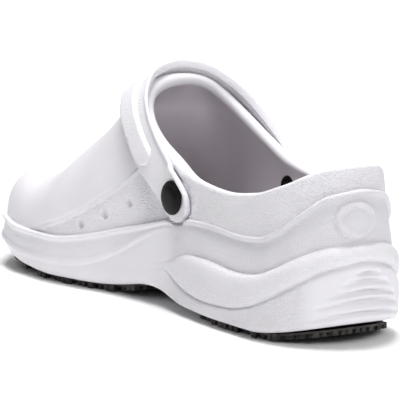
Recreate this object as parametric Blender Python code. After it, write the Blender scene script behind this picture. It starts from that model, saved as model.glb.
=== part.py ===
"""Chef clog, right shoe: one moulded upper with its sole, insole, strap, rivets and two rubber treads.

Metres, +Z up. Toe at +X, big toe side (medial) at +Y, origin on the floor under the middle of the shoe.
"""
import math

import bmesh
import bpy
import numpy as np

# Driving dimensions of the shoe
LENGTH = 0.280
BALL_WIDTH = 0.106
HEEL_WIDTH = 0.083
THROAT_HEIGHT = 0.1105
COLLAR_LOW = 0.0665
HEEL_HEIGHT = 0.0885
SOLE_HEIGHT = 0.0260
WALL = 0.0040
CLEARANCE = 0.0003

# Sole: the moulding's underside, its spring and bevel, and the floor inside
SOLE_LIFT = 0.0036
ARCH_RISE = 0.0050
TOE_SPRING = 0.0155
HEEL_BEVEL = 0.0080
BOTTOM_INSET = 0.0045
FLOOR_HEEL = 0.0220
FLOOR_FORE = 0.0135
INSOLE_THICKNESS = 0.0040
FLOOR_ROUND = 0.0030

# Relief of the moulded side
STEP_DEPTH_HEEL = 0.0032
STEP_DEPTH_FORE = 0.0016
LOBE_BULGE = 0.0022
LAYER_STEP = 0.0018
RIDGE_BULGE = 0.0009
BEAD_WIDTH = 0.0060
BEAD_BULGE = 0.0009
RIB_WIDTH = 0.0020
RIB_DEPTH = 0.0010
DIMPLE_RADIUS = 0.0025
DIMPLE_DEPTH = 0.0016
LAYER_SLOPE = 0.0030
GROOVE_WIDTH = 0.0014
RIDGE_WIDTH = 0.0017
STEP_LIP_DROP = 0.0012
TUCK_HEEL = 0.0045
TUCK_FORE = 0.0080

# Strap and rivets
STRAP_WIDTH = 0.0200
STRAP_THICKNESS = 0.0030
STRAP_STANDOFF = 0.0045
STRAP_BOW = 0.0020
PAD_WIDTH = 0.0110
PAD_THICKNESS = 0.0028
RIVET_ALONG = 0.402
RIVET_HEIGHT = 0.0565
RIVET_CAP_RADIUS = 0.0085
RIVET_CAP_HEIGHT = 0.0030
RIVET_POST_RADIUS = 0.0030
RIVET_HEAD_RADIUS = 0.0058
RIVET_HEAD_HEIGHT = 0.0020
RIVET_WALL = 0.0032
RIVET_SPOT_MARGIN = 0.0006
STRAP_EDGE = 0.0007
PAD_EDGE_MARGIN = 0.0014
PAD_SLOPE = 0.0012
STRAP_TAIL = 0.0130
STRAP_TOP_ALONG = 0.606
PAD_START = 0.0290

# Seats that the strap's ends lie in
SEAT_GAP = 0.0003
SEAT_MARGIN = 0.0012
SEAT_REACH = 0.0170
SEAT_CUT_HEIGHT = 0.0080

# Rubber treads
TREAD_THICKNESS = 0.0032
TREAD_EDGE = 0.0055
LUG_DEPTH = 0.0018
LUG_PITCH = 0.0155
LUG_GAP = 0.0030
HEEL_TREAD = (0.022, 0.365)
FORE_TREAD = (0.475, 0.950)
TREAD_GAP = 0.0004

# Resolution of the lofts
SIDE_RAYS = 26
UPPER_ROWS = 10
INNER_ROWS = 6
LINE_ROW = 0.0018
CUT_MARGIN = 0.0020

# Plan of the moulding: share of the length, and half widths as shares of half the local width
PLAN = np.array([
    # along, medial, lateral
    (0.00, 0.000, 0.000),
    (0.03, 0.530, 0.580),
    (0.08, 0.815, 0.880),
    (0.15, 0.950, 1.005),
    (0.25, 0.960, 1.040),
    (0.35, 0.865, 1.020),
    (0.45, 0.735, 1.000),
    (0.55, 0.755, 0.980),
    (0.65, 0.890, 1.010),
    (0.72, 0.975, 1.015),
    (0.80, 0.980, 0.950),
    (0.88, 0.885, 0.800),
    (0.94, 0.670, 0.590),
    (0.98, 0.380, 0.330),
    (1.00, 0.000, 0.000),
])

# Crest of the last seen from the side, imagined on over the opening
CREST = np.array([
    # along, share of THROAT_HEIGHT
    (0.00, 1.020),
    (0.15, 0.990),
    (0.29, 0.960),
    (0.39, 0.980),
    (0.50, 1.020),
    (0.58, 1.000),
    (0.655, 0.800),
    (0.72, 0.640),
    (0.76, 0.545),
    (0.80, 0.490),
])
# The collar's edge seen from the side
COLLAR = np.array([
    # along, share of the rise from COLLAR_LOW to HEEL_HEIGHT
    (0.00, 1.000),
    (0.05, 0.860),
    (0.08, 0.650),
    (0.12, 0.380),
    (0.18, 0.110),
    (0.25, 0.000),
    (0.32, 0.045),
    (0.39, 0.210),
    (0.465, 0.600),
    (0.52, 1.020),
    (0.555, 1.400),
    (0.58, 1.800),
    (0.60, 2.100),
])

# Lines round the side, by share of the way from the back of the heel to the toe tip
SIDE_LINES = np.array([
    # girth, step over SOLE_HEIGHT, lobe top, lobe bottom (shares of SOLE_HEIGHT), lobe strength
    (0.00, 2.900, 1.940, 1.600, 1.0),
    (0.06, 2.780, 1.850, 1.430, 1.0),
    (0.11, 2.420, 1.640, 1.120, 1.0),
    (0.15, 2.080, 1.380, 0.830, 1.0),
    (0.19, 1.880, 1.200, 0.600, 1.0),
    (0.24, 1.830, 1.150, 0.450, 1.0),
    (0.30, 1.880, 1.220, 0.410, 1.0),
    (0.35, 1.860, 1.210, 0.460, 1.0),
    (0.39, 1.790, 1.060, 0.640, 0.9),
    (0.42, 1.720, 0.900, 0.780, 0.0),
    (0.47, 1.530, 0.780, 0.600, 0.0),
    (0.53, 1.330, 0.500, 0.380, 0.0),
    (0.60, 1.080, 0.340, 0.240, 0.0),
    (0.66, 0.950, 0.330, 0.230, 0.0),
    (0.73, 0.940, 0.340, 0.250, 0.0),
    (0.82, 1.010, 0.420, 0.330, 0.0),
    (0.91, 1.090, 0.560, 0.470, 0.0),
    (1.00, 1.120, 0.620, 0.530, 0.0),
])
# Lower ridge of the front half: girth, height as a share of SOLE_HEIGHT, strength
LOWER_RIDGE = np.array([
    (0.00, 2.500, 0.0),
    (0.15, 1.800, 0.0),
    (0.30, 1.640, 0.0),
    (0.42, 1.560, 0.2),
    (0.47, 1.300, 0.8),
    (0.53, 0.880, 1.0),
    (0.60, 0.540, 1.0),
    (0.66, 0.450, 1.0),
    (0.73, 0.460, 1.0),
    (0.82, 0.580, 1.0),
    (0.91, 0.680, 1.0),
    (1.00, 0.720, 1.0),
])
# Inward lean of the outline at the step, and the roundness of the dome above it
LEAN = np.array([
    # girth, lean in metres over BALL_WIDTH, dome exponent
    (0.00, 0.054, 2.2),
    (0.20, 0.040, 2.2),
    (0.45, 0.020, 2.2),
    (0.60, 0.013, 2.2),
    (0.75, 0.011, 2.5),
    (1.00, 0.011, 2.9),
])

# Heel ribs: share of the height from the lower edge to the lobe, and half sweep in degrees
HEEL_RIBS = ((0.20, 39.0), (0.40, 33.0), (0.55, 26.0), (0.72, 17.0), (0.84, 9.0))
# Dimples of the side panel: along, height as a share of SOLE_HEIGHT
DIMPLES = ((0.536, 1.84), (0.593, 1.52), (0.643, 1.26))

# Fan centres of heel and toe, and the place where the upright slices start to lean to the throat
HEEL_CENTRE_SHARE = 0.15
TOE_CENTRE_SHARE = 0.80
LAST_UPRIGHT = 0.465


def smooth(t):
    """Smooth rise from 0 to 1 as t goes from 0 to 1."""
    t = np.clip(t, 0.0, 1.0)
    return t * t * (3.0 - 2.0 * t)


def curve_through(table, column, at):
    """Monotone cubic through a table's first column and another, read at a place or places."""
    xs, ys = table[:, 0], table[:, column]
    slope = np.diff(ys) / np.diff(xs)
    tangent = np.zeros(len(xs))
    same = slope[:-1] * slope[1:] > 0.0
    middle = np.zeros(len(xs) - 2)
    middle[same] = 2.0 * slope[:-1][same] * slope[1:][same] / (slope[:-1][same] + slope[1:][same])
    tangent[1:-1] = middle
    tangent[0], tangent[-1] = slope[0], slope[-1]
    at = np.clip(np.asarray(at, float), xs[0], xs[-1])
    k = np.clip(np.searchsorted(xs, at, side="right") - 1, 0, len(xs) - 2)
    h = xs[k + 1] - xs[k]
    t = (at - xs[k]) / h
    return ((1 + 2 * t) * (1 - t) ** 2 * ys[k] + t * (1 - t) ** 2 * h * tangent[k]
            + t * t * (3 - 2 * t) * ys[k + 1] + t * t * (t - 1) * h * tangent[k + 1])


def share_to_x(share):
    """Place along X of a share of the length, from the back of the heel."""
    return (np.asarray(share, float) - 0.5) * LENGTH


def x_to_share(x):
    """Share of the length at a place along X."""
    return np.asarray(x, float) / LENGTH + 0.5


def half_width(share, side):
    """Half width of the moulding at a share of the length; side is +1 medial, -1 lateral."""
    share = np.clip(np.asarray(share, float), 0.0, 1.0)
    local = HEEL_WIDTH + (BALL_WIDTH - HEEL_WIDTH) * smooth((share - 0.25) / 0.40)
    turned = np.column_stack((np.arccos(1.0 - 2.0 * PLAN[:, 0]), PLAN[:, 1], PLAN[:, 2]))
    column = 1 if side > 0 else 2
    return 0.5 * local * curve_through(turned, column, np.arccos(1.0 - 2.0 * share))


class Outline:
    """The plan outline of one side, with its girth shares and the fans at heel and toe."""

    def __init__(self, side, count=500):
        self.side = side
        share = 0.5 * (1.0 - np.cos(np.linspace(0.0, math.pi, count)))
        self.points = np.column_stack((share_to_x(share), side * half_width(share, side)))
        run = np.hypot(*np.diff(self.points, axis=0).T)
        self.girth = np.concatenate(([0.0], np.cumsum(run))) / run.sum()

    def at(self, girth):
        """Outline point at a girth share."""
        return np.array([np.interp(girth, self.girth, self.points[:, 0]),
                         np.interp(girth, self.girth, self.points[:, 1])])

    def girth_at_x(self, x):
        """Girth share where the outline passes a place along X."""
        return float(np.interp(x, self.points[:, 0], self.girth))

    def fan(self, centre, direction):
        """Radius and girth of the outline seen from a fan centre in a direction."""
        rel = self.points - centre
        angle = np.arctan2(self.side * rel[:, 1], rel[:, 0])
        wanted = math.atan2(self.side * direction[1], direction[0])
        order = np.argsort(angle)
        radius = np.interp(wanted, angle[order], np.hypot(rel[:, 0], rel[:, 1])[order])
        return radius, float(np.interp(wanted, angle[order], self.girth[order]))


OUTLINES = {1: Outline(1), -1: Outline(-1)}


def centre_line(x):
    """Y of the middle of the outline at a place along X."""
    share = x_to_share(x)
    return 0.5 * float(half_width(share, 1) - half_width(share, -1))


def fan_centres():
    """Plan places of the heel fan and of the toe fan."""
    heel_x, toe_x = share_to_x(HEEL_CENTRE_SHARE), share_to_x(TOE_CENTRE_SHARE)
    return np.array([heel_x, centre_line(heel_x)]), np.array([toe_x, centre_line(toe_x)])


HEEL_CENTRE, TOE_CENTRE = fan_centres()


def foot_of(point):
    """The point of the middle line that a plan point is measured from."""
    if point[0] <= HEEL_CENTRE[0]:
        return HEEL_CENTRE
    if point[0] >= TOE_CENTRE[0]:
        return TOE_CENTRE
    return np.array([point[0], centre_line(point[0])])


def reach(point):
    """Distance from the middle line, the outline's radius there, and its girth, at a plan point."""
    foot = foot_of(point)
    rel = point - foot
    side = 1 if rel[1] >= 0.0 else -1
    distance = math.hypot(*rel)
    if distance < 1e-9:
        rel = np.array([0.0, 1e-9])
    if foot is HEEL_CENTRE or foot is TOE_CENTRE:
        radius, girth = OUTLINES[side].fan(foot, rel)
        return distance, radius, girth
    radius = float(half_width(x_to_share(point[0]), side)) - side * foot[1]
    return distance, radius, OUTLINES[side].girth_at_x(point[0])


def crest_height(x):
    """Height of the crest of the last at a place along X (it is imagined over the opening)."""
    return THROAT_HEIGHT * float(curve_through(CREST, 1, x_to_share(x)))


def collar_height(x):
    """Height of the collar's edge at a place along X."""
    rise = float(curve_through(COLLAR, 1, x_to_share(x)))
    return COLLAR_LOW + (HEEL_HEIGHT - COLLAR_LOW) * rise


def step_height(girth):
    """Height of the step under the collar band and over the front band."""
    return SOLE_HEIGHT * float(curve_through(SIDE_LINES, 1, girth))


def upper_inset(girth):
    """Inset of the upper from the outline just above the step: its lean and the step's depth."""
    depth = STEP_DEPTH_HEEL + (STEP_DEPTH_FORE - STEP_DEPTH_HEEL) * smooth((girth - 0.10) / 0.35)
    return lean_at(girth) + depth


def lean_at(girth):
    """Inset of the moulded side from the outline just under the step."""
    return BALL_WIDTH * float(curve_through(LEAN, 1, girth))


def dome_exponent(girth):
    """Roundness of the upper's section."""
    return float(curve_through(LEAN, 2, girth))


def dome_share(height, foot_x, girth):
    """Share of the base radius that the upper still has at a height."""
    low = step_height(girth)
    t = np.clip((height - low) / (crest_height(foot_x) - low), 0.0, 1.0)
    power = dome_exponent(girth)
    return (1.0 - t ** power) ** (1.0 / power)


def underside(x):
    """Height of the moulding's flat underside at a place along X: arch, toe spring, heel bevel."""
    share = float(x_to_share(x))
    arch = ARCH_RISE * math.exp(-((share - 0.475) / 0.075) ** 2)
    spring = TOE_SPRING * max(0.0, (share - 0.72) / 0.28) ** 1.8
    bevel = HEEL_BEVEL * max(0.0, (0.15 - share) / 0.15) ** 1.6
    return SOLE_LIFT + arch + spring + bevel


def bell(distance, width):
    """Soft bump of unit height."""
    return math.exp(-(distance / width) ** 2)


def side_inset(girth, height):
    """Inset of the moulded side from the outline, up to the step: tuck, layers, lobe and ridges."""
    step, top, bottom, strength = (float(curve_through(SIDE_LINES, k, girth)) for k in range(1, 5))
    step, top, bottom = step * SOLE_HEIGHT, top * SOLE_HEIGHT, bottom * SOLE_HEIGHT
    ridge = SOLE_HEIGHT * float(curve_through(LOWER_RIDGE, 1, girth))
    firm = float(curve_through(LOWER_RIDGE, 2, girth))
    t = (height - 0.5 * (top + bottom)) / (0.5 * (top - bottom))
    layers = LAYER_STEP * (smooth((height - bottom) / LAYER_SLOPE) + smooth((height - top) / LAYER_SLOPE))
    groove = 0.8 * LOBE_BULGE * (bell(height - bottom, GROOVE_WIDTH) + bell(height - top, GROOVE_WIDTH))
    bulge = LOBE_BULGE * max(0.0, 1.0 - t * t) ** 0.6
    heel_zone = strength * (layers + groove - bulge)
    band = (1.0 - strength) * 0.5 * lean_at(girth) * smooth((height - ridge) / (step - ridge))
    crest = RIDGE_BULGE * (firm * bell(height - ridge, RIDGE_WIDTH)
                           + bell(height - step + STEP_LIP_DROP, RIDGE_WIDTH))
    return heel_zone + band - crest


def tuck(girth, above_edge):
    """Rounding under of the side above its lower edge."""
    tall = TUCK_HEEL + (TUCK_FORE - TUCK_HEEL) * smooth((girth - 0.40) / 0.15)
    t = max(0.0, 1.0 - above_edge / tall)
    return BOTTOM_INSET * (1.0 - math.sqrt(max(0.0, 1.0 - t * t)))


def side_rows(girth, low):
    """Heights of the side's rows at one girth share, from the lower edge to the step."""
    step, top, bottom = (SOLE_HEIGHT * float(curve_through(SIDE_LINES, k, girth)) for k in (1, 2, 3))
    ridge = SOLE_HEIGHT * float(curve_through(LOWER_RIDGE, 1, girth))
    bottom = max(bottom, low + 0.0015)
    top = max(top, bottom + 0.0010)
    ridge = max(ridge, top + 0.0012)
    lower, lobe, over, band = bottom - low, top - bottom, ridge - top, step - ridge
    return [low, low + 0.12 * lower, low + 0.40 * lower, bottom - min(LINE_ROW, 0.3 * lower), bottom,
            bottom + min(LINE_ROW, 0.2 * lobe), bottom + 0.5 * lobe, top - min(LINE_ROW, 0.2 * lobe), top,
            top + min(LINE_ROW, 0.4 * over), ridge - min(LINE_ROW, 0.3 * over), ridge,
            ridge + min(LINE_ROW, 0.2 * band), ridge + 0.55 * band, step - min(LINE_ROW, 0.25 * band),
            step - 0.1 * min(LINE_ROW, band)]


def dome_height(point):
    """Height of the upper's outer form over a plan point."""
    distance, radius, girth = reach(point)
    low = step_height(girth)
    power = dome_exponent(girth)
    q = min(distance / (radius - upper_inset(girth)), 1.0)
    return low + (crest_height(foot_of(point)[0]) - low) * (1.0 - q ** power) ** (1.0 / power)


def throat_place():
    """Place along X where the collar's edge meets the crest."""
    xs = np.linspace(share_to_x(0.50), share_to_x(COLLAR[-1, 0]), 300)
    return float(np.interp(0.0, [collar_height(x) - crest_height(x) for x in xs], xs))


THROAT_X = throat_place()


class CollarEdge:
    """The collar's edge on one side, in plan, with its length from the back of the heel."""

    def __init__(self, side, count=120):
        points = []
        for angle in np.linspace(math.pi, 0.5 * math.pi, count // 3, endpoint=False):
            direction = np.array([math.cos(angle), side * math.sin(angle)])
            radius, girth = OUTLINES[side].fan(HEEL_CENTRE, direction)
            base = radius - upper_inset(girth)
            reached = base
            for _ in range(12):
                height = collar_height(HEEL_CENTRE[0] + reached * direction[0])
                reached = base * dome_share(height, HEEL_CENTRE[0], girth)
            points.append(HEEL_CENTRE + reached * direction)
        for turn in np.linspace(0.0, 0.5 * math.pi, count):
            x = HEEL_CENTRE[0] + (THROAT_X - HEEL_CENTRE[0]) * math.sin(turn)
            girth = OUTLINES[side].girth_at_x(x)
            base = abs(float(half_width(x_to_share(x), side)) - side * centre_line(x)) - upper_inset(girth)
            share = dome_share(collar_height(x), x, girth)
            points.append(np.array([x, centre_line(x) + side * base * share]))
        self.side = side
        self.points = np.array(points)
        run = np.hypot(*np.diff(self.points, axis=0).T)
        self.along = np.concatenate(([0.0], np.cumsum(run)))

    def at_length(self, length):
        """Plan point at a length from the back of the heel."""
        return np.array([np.interp(length, self.along, self.points[:, k]) for k in (0, 1)])

    def length_at_x(self, x):
        """Length from the back of the heel where the edge passes a place along X."""
        return float(np.interp(x, self.points[:, 0], self.along))

    def length_towards(self, direction):
        """Length where the edge is seen from the heel fan's centre in a direction."""
        rel = self.points - HEEL_CENTRE
        angle = np.arctan2(self.side * rel[:, 1], rel[:, 0])
        order = np.argsort(angle)
        wanted = math.atan2(self.side * direction[1], direction[0])
        return float(np.interp(wanted, angle[order], self.along[order]))


EDGES = {1: CollarEdge(1), -1: CollarEdge(-1)}


def path_resampled(points, at_lengths):
    """A path's points at given lengths."""
    run = np.linalg.norm(np.diff(points, axis=0), axis=1)
    along = np.concatenate(([0.0], np.cumsum(run)))
    return np.column_stack([np.interp(at_lengths, along, points[:, k]) for k in range(3)])


def path_length(points):
    """Length of a path."""
    return float(np.linalg.norm(np.diff(points, axis=0), axis=1).sum())


class Ray:
    """One upright slice of the moulding, from its lower edge over the side to the collar's edge."""

    def __init__(self, side, girth):
        self.side, self.girth = side, girth
        self.edge = OUTLINES[side].at(girth)
        self.foot = foot_of(self.edge)
        rel = self.edge - self.foot
        self.radius = math.hypot(*rel)
        self.direction = rel / self.radius
        self.low = underside(self.edge[0])

    def at(self, inset, height):
        """Point of the slice at an inset from the outline and a height."""
        plan = self.edge - self.direction * inset
        return np.array([plan[0], plan[1], height])

    def side_point(self, height):
        """Point of the moulded side at a height."""
        return self.at(side_inset(self.girth, height) + tuck(self.girth, height - self.low), height)

    def collar_target(self):
        """Plan point of the collar's edge that this slice climbs to."""
        edge = EDGES[self.side]
        split_x = share_to_x(LAST_UPRIGHT)
        split_girth = OUTLINES[self.side].girth_at_x(split_x)
        if self.girth > split_girth:
            first = edge.length_at_x(split_x)
            past = (self.girth - split_girth) / (1.0 - split_girth)
            return edge.at_length(first + (edge.along[-1] - first) * past)
        if self.foot is HEEL_CENTRE:
            return edge.at_length(edge.length_towards(self.direction))
        return edge.at_length(edge.length_at_x(self.edge[0]))

    def upper_path(self, samples=80):
        """Closely spaced points of the upper's outer form, from the step to the collar's edge."""
        start = self.at(upper_inset(self.girth), 0.0)[:2]
        end = self.collar_target()
        share = np.linspace(0.0, 1.0, samples) ** 2.2
        plan = start + np.outer(share, end - start)
        heights = [step_height(self.girth)] + [dome_height(point) for point in plan[1:]]
        return np.column_stack((plan, heights))


def ring_of_rays():
    """The rays all the way round: medial side from heel to toe, and back along the lateral side."""
    girths = np.linspace(0.0, 1.0, SIDE_RAYS + 1)
    return [Ray(1, g) for g in girths] + [Ray(-1, g) for g in girths[-2:0:-1]]


def grid_normals(grid):
    """Outward unit normals of a grid of rings (rows up the side, columns round the shoe)."""
    around = np.roll(grid, -1, axis=1) - np.roll(grid, 1, axis=1)
    up = np.gradient(grid, axis=0)
    normal = np.cross(around, up)
    length = np.linalg.norm(normal, axis=2, keepdims=True)
    normal = normal / np.maximum(length, 1e-12)
    centre = grid.mean(axis=(0, 1))
    if ((grid - centre) * normal).sum() < 0.0:
        normal = -normal
    return normal


def floor_height(x):
    """Height of the floor inside at a place along X."""
    share = float(x_to_share(x))
    drop = smooth((share - 0.30) / 0.32)
    spring = TOE_SPRING * max(0.0, (share - 0.72) / 0.28) ** 1.8
    return FLOOR_HEEL + (FLOOR_FORE - FLOOR_HEEL) * drop + spring


def shell_grids(rays):
    """The moulding's outer rows, rim rows and inner rows, each a grid of rows by rays."""
    side = [[ray.side_point(z) for ray, z in zip(rays, row)]
            for row in zip(*(side_rows(ray.girth, ray.low) for ray in rays))]
    rim_radius = 0.5 * (WALL + BEAD_BULGE)
    base, tops = [], []
    for ray in rays:
        path = ray.upper_path()
        total = path_length(path)
        body = np.linspace(0.0, 1.0, UPPER_ROWS) ** 1.15 * (total - BEAD_WIDTH)
        bead = total - np.array([0.62 * BEAD_WIDTH, rim_radius])
        base.append(path_resampled(path, np.concatenate((body, bead))))
        tops.append(path[-1])
    base = np.array(base).transpose(1, 0, 2)
    normal = grid_normals(base)
    bulge = np.zeros(len(base))
    bulge[-2:] = BEAD_BULGE
    outer = base + normal * bulge[:, None, None]
    middle = base[-1] + normal[-1] * 0.5 * (BEAD_BULGE - WALL)
    climb = np.array(tops) - base[-1]
    climb -= (climb * normal[-1]).sum(axis=1, keepdims=True) * normal[-1]
    climb /= np.linalg.norm(climb, axis=1, keepdims=True)
    rim = [middle + rim_radius * (math.cos(a) * normal[-1] + math.sin(a) * climb)
           for a in np.radians((45.0, 90.0, 135.0, 180.0))]
    picks = np.linspace(len(base) - 3, 1, INNER_ROWS).round().astype(int)
    inner = [base[k] - normal[k] * WALL for k in picks]
    thick = [upper_inset(ray.girth) + WALL for ray in rays]
    floors = [floor_height(ray.edge[0]) for ray in rays]
    for rise, extra in ((0.55, 0.0), (0.14, 0.0008), (0.0, FLOOR_ROUND)):
        inner.append(np.array([ray.at(t + extra, f + rise * (step_height(ray.girth) - f))
                               for ray, t, f in zip(rays, thick, floors)]))
    return np.array(side), outer, np.array(rim), np.array(inner)


def strip_faces(first, second, close=True):
    """Quads between two rings of vertex numbers."""
    count = len(first)
    last = count if close else count - 1
    return [(first[k], first[(k + 1) % count], second[(k + 1) % count], second[k]) for k in range(last)]


def cap_faces(ring):
    """Faces across a ring that runs up one side of the shoe and back along the other."""
    half = len(ring) // 2
    left = ring[:half + 1]
    right = [ring[0]] + ring[:half - 1:-1]
    faces = []
    for k in range(half):
        corners = [left[k], left[k + 1], right[k + 1], right[k]]
        unique = [c for n, c in enumerate(corners) if c not in corners[:n]]
        faces.append(tuple(unique))
    return faces


def new_object(name, vertices, faces, collection):
    """A closed mesh object with its faces pointing out, from vertices and faces."""
    mesh = bpy.data.meshes.new(name)
    mesh.from_pydata([tuple(map(float, v)) for v in vertices], [], faces)
    work = bmesh.new()
    work.from_mesh(mesh)
    bmesh.ops.remove_doubles(work, verts=work.verts, dist=0.00002)
    bmesh.ops.triangulate(work, faces=work.faces, quad_method="SHORT_EDGE")
    bmesh.ops.recalc_face_normals(work, faces=work.faces)
    work.to_mesh(mesh)
    work.free()
    item = bpy.data.objects.new(name, mesh)
    collection.objects.link(item)
    return item


def material(name, colour, roughness, metallic=0.0):
    """A plain Principled material from a linear colour."""
    made = bpy.data.materials.new(name)
    made.use_nodes = True
    shader = made.node_tree.nodes["Principled BSDF"]
    shader.inputs["Base Color"].default_value = (*colour, 1.0)
    shader.inputs["Roughness"].default_value = roughness
    shader.inputs["Metallic"].default_value = metallic
    return made


def cut(item, cutter):
    """Take a cutter away from an object."""
    step = item.modifiers.new("cut " + cutter.name, "BOOLEAN")
    step.operation = "DIFFERENCE"
    step.solver = "EXACT"
    step.object = cutter
    cutter.hide_render = True
    cutter.display_type = "WIRE"


def build_moulding(rays, collection):
    """The upper and its sole, moulded as one hollow solid."""
    side, outer, rim, inner = shell_grids(rays)
    rows = np.concatenate((side, outer, rim, inner))
    count = len(rays)
    rings = [list(range(k * count, (k + 1) * count)) for k in range(len(rows))]
    faces = [face for low, high in zip(rings[:-1], rings[1:]) for face in strip_faces(low, high)]
    faces += cap_faces(rings[0]) + cap_faces(rings[-1])
    return new_object("moulded_upper", rows.reshape(-1, 3), faces, collection), inner[-1]


def build_insole(floor_ring, rays, collection):
    """The loose footbed, lying on the floor inside."""
    gap = CLEARANCE
    low = [np.array([p[0] - r.direction[0] * gap, p[1] - r.direction[1] * gap, p[2] + gap])
           for p, r in zip(floor_ring, rays)]
    high = [p + np.array([0.0, 0.0, INSOLE_THICKNESS]) for p in low]
    count = len(rays)
    under, over = list(range(count)), list(range(count, 2 * count))
    faces = strip_faces(under, over) + cap_faces(under) + cap_faces(over)
    return new_object("insole", low + high, faces, collection)


def tread_corner(side, girth):
    """Plan point of a tread's edge at a girth share."""
    ray = Ray(side, girth)
    return ray.edge - ray.direction * TREAD_EDGE


def tread_ring(girth_from, girth_to):
    """Plan points of a tread's edge, medial then lateral, at the moulding's own rays."""
    girths = [g for g in np.linspace(0.0, 1.0, SIDE_RAYS + 1) if girth_from < g < girth_to]
    girths = [girth_from] + girths + [girth_to]
    return [tread_corner(1, g) for g in girths], [tread_corner(-1, g) for g in girths]


def build_tread(name, shares, collection, cutters):
    """A rubber tread under the moulding, with its blocks left standing between cut channels."""
    girth_from, girth_to = (OUTLINES[1].girth_at_x(share_to_x(s)) for s in shares)
    left, right = tread_ring(girth_from, girth_to)
    vertices, faces = [], []
    for a, b in zip(left, right):
        for p in (a, b):
            top = underside(p[0]) - TREAD_GAP
            vertices += [(p[0], p[1], top), (p[0], p[1], top - TREAD_THICKNESS)]
    for k in range(len(left) - 1):
        a, b = 4 * k, 4 * (k + 1)
        faces += [(a, b, b + 2, a + 2), (a + 1, a + 3, b + 3, b + 1), (a, a + 1, b + 1, b),
                  (a + 2, b + 2, b + 3, a + 3)]
    last = 4 * (len(left) - 1)
    faces += [(0, 2, 3, 1), (last, last + 1, last + 3, last + 2)]
    tread = new_object(name, vertices, faces, collection)
    low_x = min(p[0] for p in left + right)
    high_x = max(p[0] for p in left + right)
    across, lengthwise = channel_cutters(name, low_x, high_x, cutters)
    cut(tread, across)
    cut(tread, lengthwise)
    return tread


def channel_box(x_from, x_to, y_from, y_to, steps):
    """Vertices and faces of a bar that follows the tread's underside."""
    vertices, faces = [], []
    for x in np.linspace(x_from, x_to, steps + 1):
        level = underside(x) - TREAD_GAP - TREAD_THICKNESS
        for y in (y_from, y_to):
            vertices += [(x, y, level - CUT_MARGIN), (x, y, level + LUG_DEPTH)]
    for k in range(steps):
        a, b = 4 * k, 4 * (k + 1)
        faces += [(a, a + 1, b + 1, b), (a + 2, b + 2, b + 3, a + 3), (a, b, b + 2, a + 2),
                  (a + 1, a + 3, b + 3, b + 1)]
    last = 4 * steps
    return vertices, faces + [(0, 2, 3, 1), (last, last + 1, last + 3, last + 2)]


def joined(name, pieces, collection):
    """One object from several lists of vertices and faces."""
    vertices, faces = [], []
    for piece_vertices, piece_faces in pieces:
        start = len(vertices)
        vertices += piece_vertices
        faces += [tuple(start + v for v in face) for face in piece_faces]
    return new_object(name, vertices, faces, collection)


def channel_cutters(name, low_x, high_x, collection):
    """The cutters of a tread's channels: bars across it and bars along it."""
    reach_y = BALL_WIDTH
    count = int((high_x - low_x) / LUG_PITCH)
    first = 0.5 * (low_x + high_x) - 0.5 * (count - 1) * LUG_PITCH
    across = [channel_box(first + k * LUG_PITCH - 0.5 * LUG_GAP, first + k * LUG_PITCH + 0.5 * LUG_GAP,
                          -reach_y, reach_y, 1) for k in range(count)]
    half = int(0.5 * BALL_WIDTH / LUG_PITCH)
    lengthwise = [channel_box(low_x - LUG_PITCH, high_x + LUG_PITCH, k * LUG_PITCH - 0.5 * LUG_GAP,
                              k * LUG_PITCH + 0.5 * LUG_GAP, 8) for k in range(-half, half + 1)]
    return (joined(name + "_across", across, collection),
            joined(name + "_lengthwise", lengthwise, collection))


def rivet_place(side):
    """Centre of a rivet on the upper's outer wall."""
    x = float(share_to_x(RIVET_ALONG))
    girth = OUTLINES[side].girth_at_x(x)
    base = abs(float(half_width(x_to_share(x), side)) - side * centre_line(x)) - upper_inset(girth)
    return np.array([x, centre_line(x) + side * base * dome_share(RIVET_HEIGHT, x, girth), RIVET_HEIGHT])


def cylinder(name, radius, start, length, side, collection, segments=20):
    """A cylinder along Y from a start point outwards on one side."""
    mesh = bpy.data.meshes.new(name)
    work = bmesh.new()
    bmesh.ops.create_cone(work, cap_ends=True, segments=segments, radius1=radius, radius2=radius, depth=length)
    work.to_mesh(mesh)
    work.free()
    item = bpy.data.objects.new(name, mesh)
    item.rotation_euler = (math.radians(90.0), 0.0, 0.0)
    item.location = (start[0], start[1] + side * 0.5 * length, start[2])
    collection.objects.link(item)
    return item


def turned(name, profile, place, side, collection, steps=24):
    """A turned solid whose axis runs along Y, pointing outwards on one side."""
    mesh = bpy.data.meshes.new(name)
    work = bmesh.new()
    points = [work.verts.new((r, 0.0, h)) for r, h in profile]
    for a, b in zip(points[:-1], points[1:]):
        work.edges.new((a, b))
    bmesh.ops.spin(work, geom=work.verts[:] + work.edges[:], cent=(0, 0, 0), axis=(0, 0, 1),
                   angle=2.0 * math.pi, steps=steps, use_duplicate=False)
    bmesh.ops.remove_doubles(work, verts=work.verts, dist=0.00002)
    bmesh.ops.recalc_face_normals(work, faces=work.faces)
    work.to_mesh(mesh)
    work.free()
    mesh.shade_smooth()
    mesh.set_sharp_from_angle(angle=math.radians(35.0))
    item = bpy.data.objects.new(name, mesh)
    item.rotation_euler = (math.radians(-90.0 * side), 0.0, 0.0)
    item.location = tuple(place)
    collection.objects.link(item)
    return item


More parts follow.
